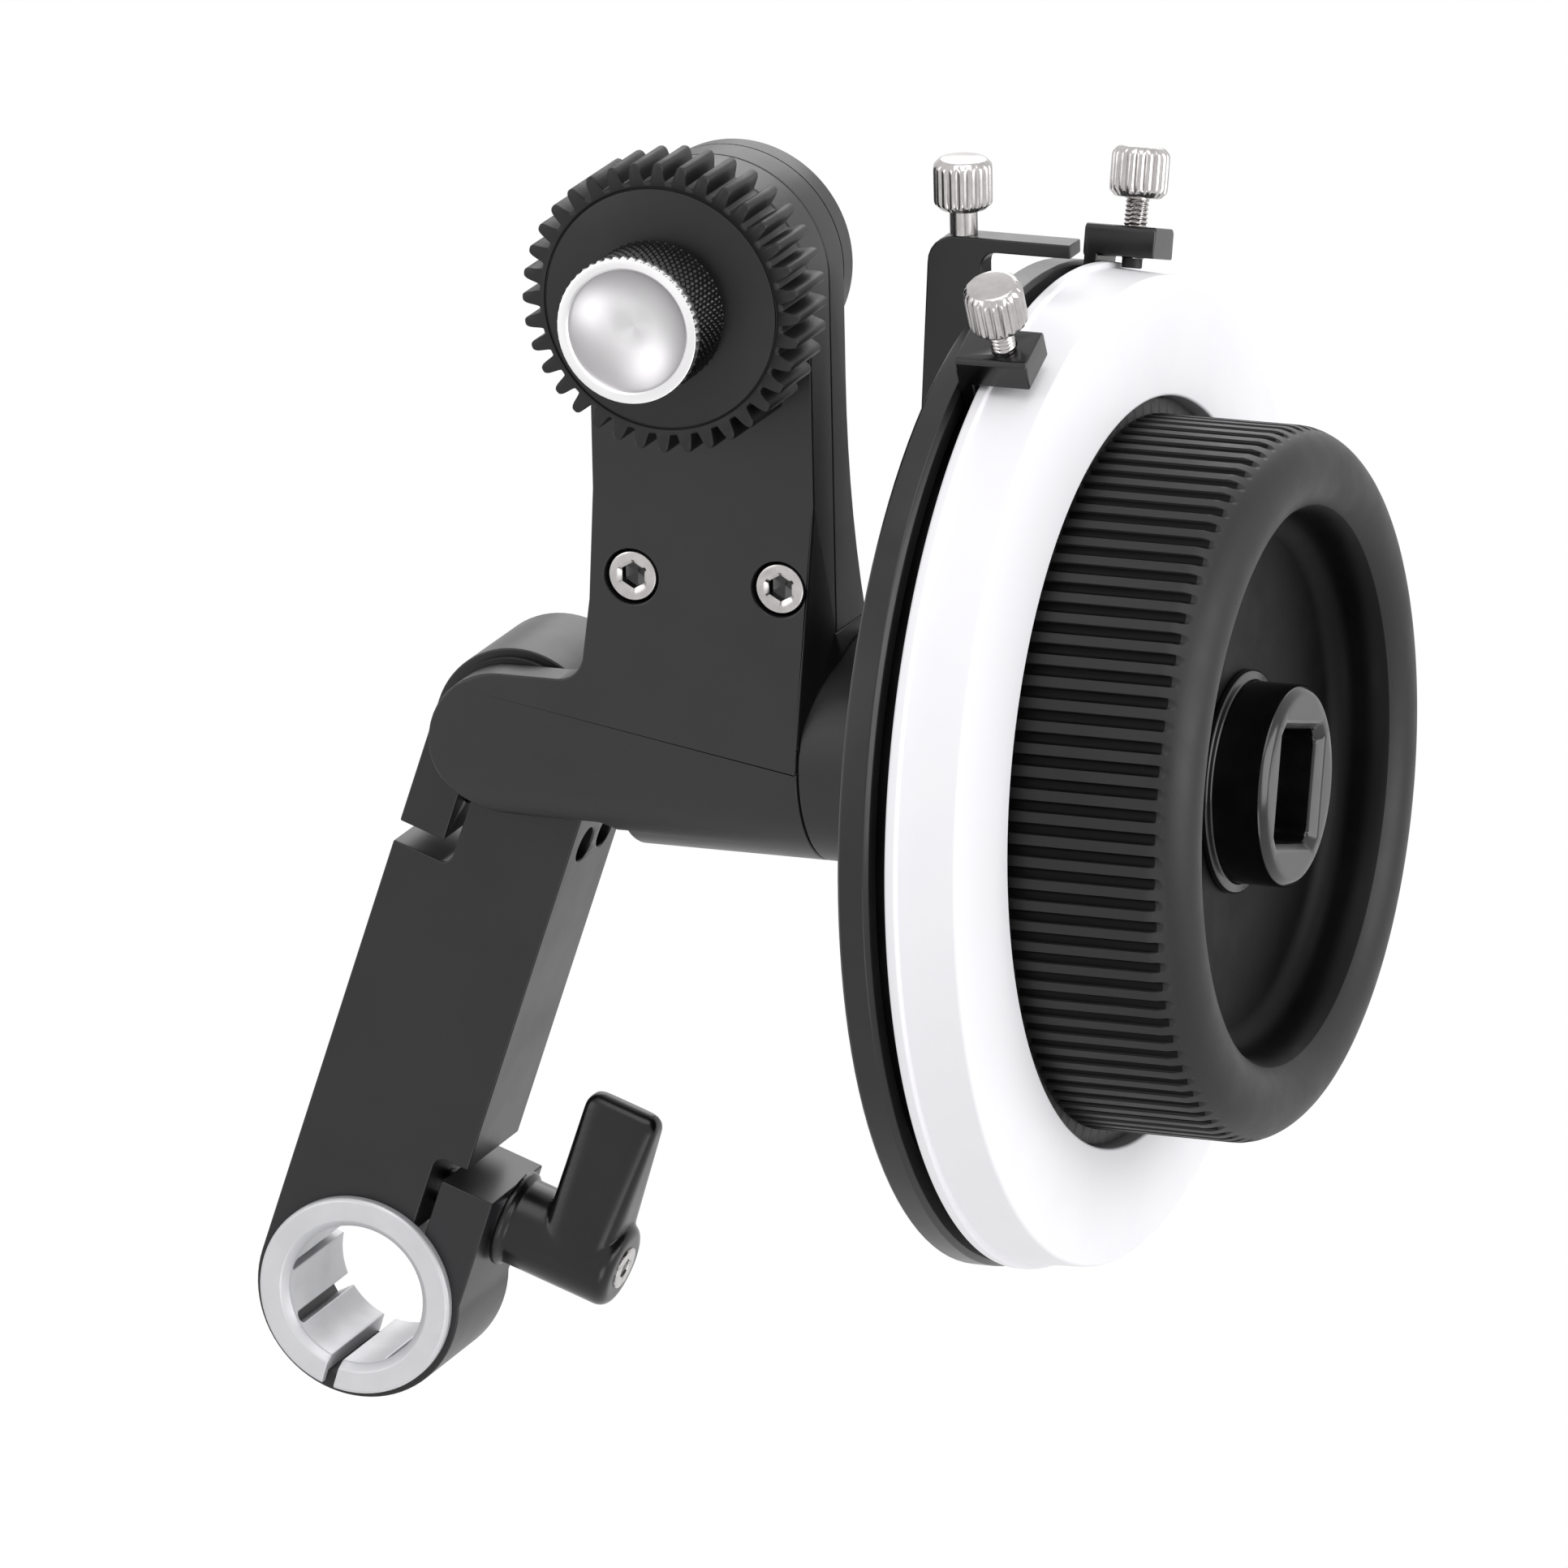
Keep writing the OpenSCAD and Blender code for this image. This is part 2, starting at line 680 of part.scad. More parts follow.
module cover_screws() {
    head_y = face_y + 0.3;
    color([0.8, 0.8, 0.82])
    at_pivot() cover_screw_places() difference() {
        union() {
            rod_y(cover_screw_r, head_y + cover_head_h - 0.1, cover_y - 0.9);
            turned_y() polygon([
                [0, head_y],
                [cover_head_r - 0.3, head_y],
                [cover_head_r, head_y + 0.3],
                [cover_head_r, head_y + cover_head_h],
                [0, head_y + cover_head_h]]);
        }
        translate([0, head_y - eps, 0]) rotate([-90, 0, 0])
            cylinder(r = key_m3, h = cover_head_h / 2 + eps, $fn = 6);
    }
}

module pivot_washer() {
    color([0.03, 0.03, 0.03])
    at_pivot() tube_y(washer_r, trunnion_r + run, tongue_back + 0.05, -arm_t / 2 - 0.1);
}

module pivot_cap() {
    seat_y = arm_t / 2 + 0.1;
    color([0.14, 0.14, 0.15])
    at_pivot() difference() {
        turned_y() polygon([
            [0, seat_y],
            [washer_r, seat_y],
            [washer_r, seat_y + pivot_cap_t - 0.5],
            [washer_r - 0.5, seat_y + pivot_cap_t],
            [0, seat_y + pivot_cap_t]]);
        rod_y(pivot_screw_r + fit, 0, barrel_r + 5);
    }
}

module pivot_screw() {
    head_y = arm_t / 2 + 0.1 + pivot_cap_t;
    color([0.8, 0.8, 0.82])
    at_pivot() difference() {
        union() {
            rod_y(pivot_screw_r, 1, head_y + 0.1);
            rod_y(pivot_head_r, head_y, head_y + pivot_head_h);
        }
        translate([0, head_y + pivot_head_h / 2, 0]) rotate([-90, 0, 0])
            cylinder(r = key_m3, h = pivot_head_h, $fn = 6);
    }
}

module bearing_collar() {
    collar_end = disc_x - joint_gap;
    color([0.14, 0.14, 0.15])
    at_pivot() difference() {
        turned_x() polygon([
            [input_bearing_r, barrel_end - 3.2],
            [chamber_r - fit, barrel_end - 3.2],
            [chamber_r - fit, barrel_end],
            [barrel_r - 0.25, barrel_end],
            [barrel_r, barrel_end + 0.25],
            [barrel_r, collar_end - 0.3],
            [barrel_r - 0.3, collar_end],
            [input_bearing_r - 1.5, collar_end],
            [input_bearing_r - 1.5, input_bearing_2 + input_bearing_w],
            [input_bearing_r, input_bearing_2 + input_bearing_w]]);
    }
}

// ---- Drive train ----

module bearing_x(bore, r, x0, w) {
    tube_x(r, r - 1.1, x0, x0 + w);
    tube_x(bore + 1.1, bore, x0, x0 + w);
    tube_x(r - 1.05, bore + 1.05, x0 + 0.3, x0 + w - 0.3);
}

module bearing_y(bore, r, y0, w) {
    wall = (r - bore) / 3;
    tube_y(r, r - wall, y0, y0 + w);
    tube_y(bore + wall, bore, y0, y0 + w);
    tube_y(r - wall + 0.05, bore + wall - 0.05, y0 + 0.2, y0 + w - 0.2);
}

module input_bearings() {
    color([0.75, 0.75, 0.77])
    at_pivot() for (x = [input_bearing_1, input_bearing_2])
        bearing_x(shaft_r + run, input_bearing_r - fit, x, input_bearing_w);
}

module bearing_spacer() {
    color([0.6, 0.6, 0.62])
    at_pivot() tube_x(input_bearing_r - fit, input_bearing_r - 1.2,
        input_bearing_1 + input_bearing_w, input_bearing_2);
}

module input_shaft() {
    color([0.7, 0.7, 0.72])
    at_pivot() difference() {
        union() {
            rod_x(pinion_shaft_r, tower_x + mitre_r - 0.6, input_bearing_1);
            rod_x(shaft_r, input_bearing_1 - 0.2, shaft_end);
            rod_x(shaft_r + 1, input_bearing_2 + input_bearing_w + 0.05, disc_x);
        }
        rod_x(hub_screw_r + fit, shaft_end - hub_screw_in - 3, shaft_end + eps);
    }
}

// Outline of a small spur gear with straight-sided teeth, one tooth on the first axis
module tooth_outline(teeth, root_r, tip_r, root_share, tip_share) {
    pitch = 360 / teeth;
    polygon([for (i = [0:teeth - 1]) for (p = [[-root_share, root_r], [-tip_share, tip_r],
        [tip_share, tip_r], [root_share, root_r]])
        [p[1] * cos((i + p[0] / 2) * pitch), p[1] * sin((i + p[0] / 2) * pitch)]]);
}

// A mitre gear on +Z whose cone meets the axis at the origin, big end up
module mitre(turn, bore) {
    near = mitre_r - mitre_face;
    rotate([0, 0, turn]) difference() {
        union() {
            translate([0, 0, near + 0.2]) linear_extrude(height = mitre_face - 0.2,
                scale = mitre_r / (near + 0.2))
                scale((near + 0.2) / mitre_r)
                tooth_outline(mitre_teeth, mitre_r - 0.62, mitre_r + 0.42, 0.62, 0.2);
            translate([0, 0, mitre_r - 0.02]) cylinder(r = mitre_r - 0.7, h = 1.9);
        }
        translate([0, 0, -eps]) cylinder(r = bore, h = mitre_r * 3);
    }
}

module mitre_pinion() {
    color([0.62, 0.6, 0.55])
    at_pivot() translate([tower_x, 0, 0]) rotate([0, 90, 0]) mitre(90, pinion_shaft_r + fit);
}

module mitre_gear() {
    color([0.7, 0.6, 0.35])
    at_pivot() translate([tower_x, 0, 0]) rotate([-90, 0, 0]) mitre(180 / mitre_teeth, cross_r + fit);
}

module cross_shaft() {
    color([0.7, 0.7, 0.72])
    at_pivot() translate([tower_x, 0, 0])
        rod_y(cross_r, face_y + 1.2, cross_back_y + cross_bearing_w - 0.2);
}

module cross_bearings() {
    color([0.75, 0.75, 0.77])
    at_pivot() translate([tower_x, 0, 0]) {
        bearing_y(cross_r + run, cross_bearing_r - fit, face_y + 1.05, cross_bearing_w);
        bearing_y(cross_r + run, cross_bearing_r - fit, cross_back_y, cross_bearing_w);
    }
}

module pulley(bore) {
    y1 = belt_y + belt_w;
    difference() {
        union() {
            rod_y(pulley_r - 0.3, belt_y, y1);
            for (y = [belt_y - pulley_flange_t, y1]) rod_y(pulley_flange_r, y, y + pulley_flange_t);
        }
        rod_y(bore, belt_y - 2, y1 + 2);
    }
}

module lower_pulley() {
    color([0.75, 0.75, 0.78])
    at_pivot() translate([tower_x, 0, 0]) pulley(cross_r + fit);
}

module upper_pulley() {
    color([0.75, 0.75, 0.78])
    at_pivot() translate([tower_x, 0, tower_h]) pulley(output_r + fit);
}

module timing_belt() {
    y0 = belt_y + 0.1;
    y1 = belt_y + belt_w - 0.1;
    first = ceil(pulley_flange_r / belt_teeth_pitch) * belt_teeth_pitch;
    color([0.05, 0.05, 0.05])
    at_pivot() translate([tower_x, 0, 0]) {
        plate_y(y0, y1) difference() {
            union() {
                circle(r = pulley_r + belt_t);
                translate([0, tower_h]) circle(r = pulley_r + belt_t);
                translate([-pulley_r - belt_t, 0]) square([2 * (pulley_r + belt_t), tower_h]);
            }
            circle(r = pulley_r);
            translate([0, tower_h]) circle(r = pulley_r);
            translate([-pulley_r, 0]) square([2 * pulley_r, tower_h]);
        }
        for (side = [-1, 1]) for (z = [first:belt_teeth_pitch:tower_h - first])
            translate([side * (pulley_r - 0.35), (y0 + y1) / 2, z])
                cube([0.75, y1 - y0, 1], center = true);
    }
}

module output_shaft() {
    color([0.7, 0.7, 0.72])
    at_pivot() translate([tower_x, 0, tower_h]) difference() {
        union() {
            rod_y(output_r, shaft_nose_y, boss_y - 1.2);
            rod_y(gear_flange_r, gear_back, face_y - joint_gap);
        }
        rod_y(centre_r, shaft_nose_y - eps, gear_front + 1);
    }
}

module output_bearings() {
    color([0.75, 0.75, 0.77])
    at_pivot() translate([tower_x, 0, tower_h]) {
        bearing_y(output_r + run, output_front_bearing_r - fit, face_y + 0.85, output_bearing_w - 0.2);
        bearing_y(output_r + run, output_bearing_r - fit, boss_y - 1 - output_bearing_w, output_bearing_w);
    }
}

// One lens gear tooth has a rounded tip; its outline is repeated round the gear
module lens_gear() {
    pitch_r = gear_teeth * gear_module / 2;
    root_r = pitch_r - 1.25 * gear_module;
    half = 90 / gear_teeth;
    color([0.09, 0.09, 0.095])
    at_pivot() translate([tower_x, 0, tower_h]) difference() {
        plate_y(gear_front, gear_back) polygon([for (i = [0:gear_teeth - 1]) for (p = [
            [-1.42 * half, root_r], [-1.12 * half, pitch_r - 0.3], [-0.92 * half, pitch_r + 0.35],
            [-0.72 * half, gear_r - 0.25], [-0.4 * half, gear_r - 0.03], [0, gear_r],
            [0.4 * half, gear_r - 0.03], [0.72 * half, gear_r - 0.25], [0.92 * half, pitch_r + 0.35],
            [1.12 * half, pitch_r - 0.3], [1.42 * half, root_r]])
            let (a = 360 * i / gear_teeth + p[0]) [p[1] * cos(a), p[1] * sin(a)]]);
        rod_y(output_r + fit, gear_front - eps, gear_back + eps);
        // thin ring groove round the face
        difference() {
            rod_y(root_r - 0.7, gear_front - eps, gear_front + 0.2);
            rod_y(root_r - 0.95, gear_front - 2 * eps, gear_front + 0.4);
        }
    }
}

module retaining_knob() {
    knurls = 60;
    color([0.08, 0.08, 0.085])
    at_pivot() translate([tower_x, 0, tower_h]) difference() {
        union() {
            plate_y(knob_front + knob_ring_t, gear_front - 1.2) polygon([for (i = [0:2 * knurls - 1])
                let (a = 180 * i / knurls, r = knob_r - 0.05 - 0.3 * (i % 2)) [r * cos(a), r * sin(a)]]);
            rod_y(knob_r - 0.9, gear_front - 1.3, gear_front);
        }
        rod_y(output_r + fit, shaft_nose_y - 0.1, gear_front + eps);
        rod_y(insert_r + fit, knob_front - eps, insert_back);
    }
}

module knob_insert() {
    bowl_r = (dish_r * dish_r + bowl_depth * bowl_depth) / (2 * bowl_depth);
    color([0.85, 0.85, 0.87])
    at_pivot() translate([tower_x, 0, tower_h]) difference() {
        union() {
            rod_y(knob_r, knob_front, knob_front + knob_ring_t);
            rod_y(insert_r, knob_front + knob_ring_t - 0.2, insert_back);
        }
        translate([0, knob_front + bowl_depth - bowl_r, 0]) sphere(r = bowl_r);
    }
}

// ---- Discs and handwheel ----

module wheel_screw_places()
    for (turn = [0, 120, 240]) rotate([turn, 0, 0]) translate([0, 0, wheel_screw_ring]) children();

module magnet_places()
    for (turn = [30:60:330]) rotate([turn, 0, 0]) translate([0, 0, magnet_ring]) children();

module stop_disc() {
    color([0.1, 0.1, 0.11])
    at_pivot() difference() {
        turned_x() polygon([
            [shaft_r + fit, disc_x],
            [disc_r - 0.3, disc_x],
            [disc_r, disc_x + 0.3],
            [disc_r, groove_x - 0.5],
            [disc_r - 0.5, groove_x],
            [toe_r, groove_x],
            [toe_r, groove_x - toe_depth],
            [step_r, groove_x - toe_depth],
            [step_r, marking_x],
            [shaft_r + fit, marking_x]]);
        wheel_screw_places() {
            rod_x(wheel_screw_r + 0.15, disc_x - eps, marking_x + eps);
            rod_x(cover_head_r + 0.2, disc_x - eps, disc_x + cover_head_h);
        }
        magnet_places() rod_x(magnet_r + fit, marking_x - magnet_t, marking_x + eps);
    }
}

module marking_disc() {
    color([0.95, 0.95, 0.96])
    at_pivot() difference() {
        turned_x() polygon(concat(
            [[marking_hole_d / 2, marking_x], [disc_r - 0.3, marking_x], [disc_r, marking_x + 0.3],
                [disc_r, marking_x + marking_lip - 0.2], [disc_r - 0.2, marking_x + marking_lip],
                [band_r, marking_x + marking_lip]],
            arc(band_r - marking_taper - marking_round, marking_front - marking_cone - marking_round,
                marking_round, 0, 90, 5),
            [[marking_hole_d / 2 + 0.4, marking_front], [marking_hole_d / 2, marking_front - 0.4]]));
        magnet_places() rod_x(magnet_r + fit, marking_x - eps, marking_x + magnet_t);
    }
}

module disc_magnets() {
    color([0.7, 0.7, 0.72])
    at_pivot() magnet_places() {
        rod_x(magnet_r, marking_x - magnet_t + 0.02, marking_x - 0.05);
        rod_x(magnet_r, marking_x + 0.05, marking_x + magnet_t - 0.02);
    }
}

module handwheel() {
    step = 360 / grip_grooves;
    groove_r = grip_r - groove_depth;
    color([0.09, 0.09, 0.095])
    at_pivot() difference() {
        turned_x() polygon(concat(
            [[hub_stem_r + fit, marking_x], [wheel_base_r, marking_x], [wheel_base_r, wheel_base_x],
                [grip_r, wheel_base_x]],
            arc(nose_r, grip_front - rim_round, rim_round, 0, 90, 8),
            arc(dish_r1 + lip_round, grip_front - lip_round, lip_round, 90, 180, 8),
            arc(dish_r1 - floor_round, dish_floor + floor_round, floor_round, 0, -90, 5),
            [[hub_stem_r + fit, dish_floor]]));
        // the grooves run out where the rim rounds over
        for (i = [0:grip_grooves - 1]) rotate([i * step, 0, 0])
            bar_x(wheel_base_x - eps, grip_front) polygon([
                [-0.7 * groove_w, grip_r + groove_depth], [-0.3 * groove_w, groove_r],
                [0.3 * groove_w, groove_r], [0.7 * groove_w, grip_r + groove_depth]]);
        wheel_screw_places() rod_x(wheel_screw_r + fit, marking_x - eps, marking_x + wheel_screw_in + 0.5);
    }
}

module wheel_screws() {
    color([0.7, 0.7, 0.72])
    at_pivot() wheel_screw_places() difference() {
        union() {
            rod_x(wheel_screw_r, disc_x + cover_head_h - 0.1, marking_x + wheel_screw_in);
            rod_x(cover_head_r, disc_x + 0.2, disc_x + cover_head_h);
        }
        translate([disc_x, 0, 0]) rotate([0, 90, 0])
            cylinder(r = key_m3, h = 0.2 + cover_head_h / 2, $fn = 6);
    }
}

module wheel_hub() {
    color([0.08, 0.08, 0.085])
    at_pivot() difference() {
        turned_x() polygon([
            [shaft_r + fit, marking_x],
            [hub_stem_r, marking_x],
            [hub_stem_r, dish_floor],
            [hub_base_r, dish_floor],
            [hub_base_r, dish_floor + hub_base_t],
            [hub_r, dish_floor + hub_base_t],
            [hub_r, hub_front - 0.7],
            [hub_r - 0.7, hub_front],
            [0, hub_front],
            [0, shaft_end],
            [shaft_r + fit, shaft_end]]);
        rotate([socket_turn, 0, 0]) {
            bar_x(hub_front - socket_depth, hub_front + eps)
                translate([-socket_w / 2, -socket_w / 2]) rounded_square(socket_w, socket_round);
            socket_mouth();
        }
        rod_x(hub_screw_r + 0.15, shaft_end - eps, hub_front);
    }
}

// The chamfer round the socket's opening: sloping sides, their corners rounded by a cone
module socket_mouth() {
    depth = socket_chamfer + 0.2;
    x0 = hub_front - depth;
    corner_r = (socket_w / 2 - socket_round) * sqrt(2) + socket_round;
    intersection() {
        plate_y(-hub_r, hub_r) mouth_outline(x0, depth);
        rotate([90, 0, 0]) plate_y(-hub_r, hub_r) mouth_outline(x0, depth);
        turned_x() polygon([
            [0, x0], [corner_r - 0.2, x0], [corner_r - 0.2 + depth + eps, x0 + depth + eps],
            [0, x0 + depth + eps]]);
    }
}

module mouth_outline(x0, depth) {
    half = socket_w / 2 - 0.2;
    polygon([
        [x0, -half], [x0 + depth + eps, -half - depth - eps],
        [x0 + depth + eps, half + depth + eps], [x0, half]]);
}

// A square with round corners, from its own corner at the origin
module rounded_square(side, r) {
    polygon(concat(
        arc(side - r, side - r, r, 0, 90, 5), arc(r, side - r, r, 90, 180, 5),
        arc(r, r, r, 180, 270, 5), arc(side - r, r, r, 270, 360, 5)));
}

module hub_screw() {
    seat = hub_front - socket_depth;
    color([0.7, 0.7, 0.72])
    at_pivot() difference() {
        union() {
            rod_x(hub_screw_r, shaft_end - hub_screw_in, seat + 0.1);
            rod_x(hub_head_r, seat, seat + hub_head_h);
        }
        translate([seat + hub_head_h / 2, 0, 0]) rotate([0, 90, 0])
            cylinder(r = key_m4, h = hub_head_h, $fn = 6);
    }
}

// ---- Index bracket ----

module index_bracket() {
    y1 = index_y0 + index_t;
    corner = 3;
    foot_x = index_x - 2.6;
    foot_z = index_ring_r - 3;
    post_x1 = index_x + index_w;
    arm_x1 = index_x + index_reach;
    ring_x0 = index_x - ring_lead;
    color([0.1, 0.1, 0.11])
    at_pivot() difference() {
        union() {
            plate_y(index_y0, y1) polygon(concat(
                [[foot_x, foot_z], [post_x1, foot_z]],
                [[post_x1, index_top - index_arm_t - 2]],
                arc(post_x1 + 1.6, index_top - index_arm_t - 1.6, 1.6, 180, 90, 5),
                [[arm_x1, index_top - index_arm_t], [arm_x1, index_top]],
                arc(index_x + corner, index_top - corner, corner, 90, 180, 6)));
            tube_x(index_ring_r, barrel_r + fit, ring_x0, post_x1);
        }
        rod_x(barrel_r + fit, ring_x0 - eps, post_x1 + eps);
        // thread for the index screw, and for the set screw that holds the ring
        translate([index_screw_x, (index_y0 + y1) / 2, index_top - index_thread_len - 0.4])
            cylinder(r = index_thread_r + fit, h = index_thread_len + 0.4 + eps);
        translate([(ring_x0 + post_x1) / 2, 0, -index_ring_r - eps])
            cylinder(r = ring_screw_r + fit, h = index_ring_r);
    }
}

module index_ring_screw() {
    color([0.25, 0.25, 0.27])
    at_pivot() translate([index_x + (index_w - ring_lead) / 2, 0, -index_ring_r + 0.2]) difference() {
        cylinder(r = ring_screw_r, h = index_ring_r - barrel_r - 0.25);
        translate([0, 0, -eps]) cylinder(r = key_m2, h = 1.5 + eps, $fn = 6);
    }
}

// Thumb screw on +Z: its head's underside at the origin, its shank below
module thumb_screw(shank_r, shank_len, tip_r, tip_len) {
    ribs = 18;
    translate([0, 0, 0.5]) linear_extrude(height = thumb_h - 1) polygon([for (i = [0:2 * ribs - 1])
        let (a = 180 * i / ribs, r = thumb_r - 0.28 * (i % 2)) [r * cos(a), r * sin(a)]]);
    cylinder(r1 = thumb_r - 0.8, r2 = thumb_r - 0.3, h = 0.55);
    translate([0, 0, thumb_h - 0.55]) cylinder(r1 = thumb_r - 0.3, r2 = thumb_r - 0.8, h = 0.55);
    translate([0, 0, -shank_len]) cylinder(r = shank_r, h = shank_len + 0.1);
    translate([0, 0, -shank_len - tip_len]) cylinder(r = tip_r, h = tip_len + 0.01);
}

module index_screw() {
    color([0.82, 0.82, 0.83])
    at_pivot() translate([index_screw_x, index_y0 + index_t / 2, index_top + index_shank_up])
        thumb_screw(index_shank_r, index_shank_up, index_thread_r, index_thread_len);
}

// ---- Hard stops ----

// Turns a shape modelled at the top of the rim to its angle round the rim
module on_rim(angle) at_pivot() rotate([angle, 0, 0]) children();

module stop_block(angle) {
    leg_x0 = groove_x + toe_gap;
    leg_x1 = marking_x - toe_gap;
    toe_x0 = groove_x - toe_depth + toe_gap;
    color([0.08, 0.08, 0.085])
    on_rim(angle) difference() {
        union() {
            bar_x(stop_x0, stop_x1) polygon([
                [-stop_w / 2, stop_r0], [stop_w / 2, stop_r0],
                [stop_w / 2, stop_r1 - 0.4], [stop_w / 2 - 0.4, stop_r1],
                [-stop_w / 2 + 0.4, stop_r1], [-stop_w / 2, stop_r1 - 0.4]]);
            box([leg_x0, -stop_w / 2, step_r + 0.3], [leg_x1, stop_w / 2, stop_r0 + 0.1]);
            box([toe_x0, -stop_w / 2, step_r + 0.3], [leg_x0 + 0.1, stop_w / 2, toe_r - 0.3]);
        }
        translate([stop_screw_x, 0, stop_r0 - eps])
            cylinder(r = stop_thread_r + fit, h = stop_h + 2 * eps);
    }
}

module stop_screw(angle, up) {
    color([0.82, 0.82, 0.83])
    on_rim(angle) translate([stop_screw_x, 0, stop_r1 + up])
        thumb_screw(stop_thread_r, up + stop_h + 0.1, stop_thread_r - 0.1, stop_r0 - band_r - 0.15);
}

module front_stop_block() stop_block(front_stop_angle);
module rear_stop_block() stop_block(rear_stop_angle);
module front_stop_screw() stop_screw(front_stop_angle, front_thumb_up);
module rear_stop_screw() stop_screw(rear_stop_angle, rear_thumb_up);

swing_arm();
rod_bush();
arm_clamp_screws();
clamp_lever();
lever_stud();
lever_screw();
gearbox_housing();
rear_cover();
cover_screws();
pivot_washer();
pivot_cap();
pivot_screw();
bearing_collar();
input_bearings();
bearing_spacer();
input_shaft();
mitre_pinion();
mitre_gear();
cross_shaft();
cross_bearings();
lower_pulley();
timing_belt();
upper_pulley();
output_shaft();
output_bearings();
lens_gear();
retaining_knob();
knob_insert();
stop_disc();
marking_disc();
disc_magnets();
handwheel();
wheel_screws();
wheel_hub();
hub_screw();
index_bracket();
index_ring_screw();
index_screw();
front_stop_block();
front_stop_screw();
rear_stop_block();
rear_stop_screw();
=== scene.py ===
import bpy
import bmesh
import json
import math
from mathutils import Matrix, Vector


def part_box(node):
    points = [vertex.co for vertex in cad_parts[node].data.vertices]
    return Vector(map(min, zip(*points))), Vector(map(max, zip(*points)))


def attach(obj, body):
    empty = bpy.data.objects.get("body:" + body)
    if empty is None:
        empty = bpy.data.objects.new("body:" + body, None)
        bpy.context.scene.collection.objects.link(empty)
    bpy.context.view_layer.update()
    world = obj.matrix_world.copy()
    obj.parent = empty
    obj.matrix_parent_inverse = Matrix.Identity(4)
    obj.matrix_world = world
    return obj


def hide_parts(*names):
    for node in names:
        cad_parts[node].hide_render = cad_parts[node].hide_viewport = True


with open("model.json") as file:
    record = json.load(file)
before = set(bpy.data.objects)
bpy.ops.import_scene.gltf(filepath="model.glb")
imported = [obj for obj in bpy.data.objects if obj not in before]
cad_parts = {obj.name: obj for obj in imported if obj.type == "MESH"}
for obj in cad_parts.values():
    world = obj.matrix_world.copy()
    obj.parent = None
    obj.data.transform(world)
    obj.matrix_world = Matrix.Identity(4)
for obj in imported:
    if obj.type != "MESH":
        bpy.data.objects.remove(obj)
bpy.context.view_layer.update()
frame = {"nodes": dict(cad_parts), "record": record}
nodes = frame["nodes"]
MM = 0.001

# Places from the CAD, in metres
low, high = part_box("stop_disc")
PZ = (low[2] + high[2]) / 2
low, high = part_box("output_shaft")
TX = (low[0] + high[0]) / 2
TZ = (low[2] + high[2]) / 2
TOWER_OUT = 23.2 * MM     # from the pivot across to the gear's axis
PX = TX - TOWER_OUT


# ---- Materials ----

def shader(name):
    m = bpy.data.materials.new(name)
    m.use_nodes = True
    t = m.node_tree
    b = t.nodes["Principled BSDF"]
    return m, t, b


def noise(t, scale, detail=3.0, rough=0.55):
    """Noise in object space, with its scale per metre."""
    c = t.nodes.new("ShaderNodeTexCoord")
    n = t.nodes.new("ShaderNodeTexNoise")
    n.inputs["Scale"].default_value = scale
    n.inputs["Detail"].default_value = detail
    n.inputs["Roughness"].default_value = rough
    t.links.new(c.outputs["Object"], n.inputs["Vector"])
    return n


def spread(t, socket, lo, hi, a=0.35, b=0.65):
    """The noise value between a and b becomes lo to hi."""
    r = t.nodes.new("ShaderNodeMapRange")
    r.inputs["From Min"].default_value = a
    r.inputs["From Max"].default_value = b
    r.inputs["To Min"].default_value = lo
    r.inputs["To Max"].default_value = hi
    t.links.new(socket, r.inputs["Value"])
    return r.outputs["Result"]


def tint(t, socket, c0, c1):
    m = t.nodes.new("ShaderNodeMix")
    m.data_type = "RGBA"
    m.inputs[6].default_value = (*c0, 1)
    m.inputs[7].default_value = (*c1, 1)
    t.links.new(socket, m.inputs[0])
    return m.outputs[2]


def bump(t, b, sockets):
    """Bumps laid over one another: [(height socket, distance in metres, strength)]."""
    last = None
    for height, distance, strength in sockets:
        n = t.nodes.new("ShaderNodeBump")
        n.inputs["Distance"].default_value = distance
        n.inputs["Strength"].default_value = strength
        t.links.new(height, n.inputs["Height"])
        if last:
            t.links.new(last, n.inputs["Normal"])
        last = n.outputs["Normal"]
    t.links.new(last, b.inputs["Normal"])


def surface(name, c0, c1, rough, metallic=0.0, grain=4000.0, depth=0.02, strength=0.3,
            mottle=220.0, specular=0.5):
    """A finish that drifts between two colours, with a fine grain in its relief."""
    m, t, b = shader(name)
    slow = noise(t, mottle, 4.0)
    fine = noise(t, grain, 2.0)
    f = spread(t, slow.outputs[0], 0, 1)
    t.links.new(tint(t, f, c0, c1), b.inputs["Base Color"])
    t.links.new(spread(t, slow.outputs[0], rough[0], rough[1]), b.inputs["Roughness"])
    b.inputs["Metallic"].default_value = metallic
    b.inputs["Specular IOR Level"].default_value = specular
    bump(t, b, [(fine.outputs[0], depth * MM, strength)])
    return m


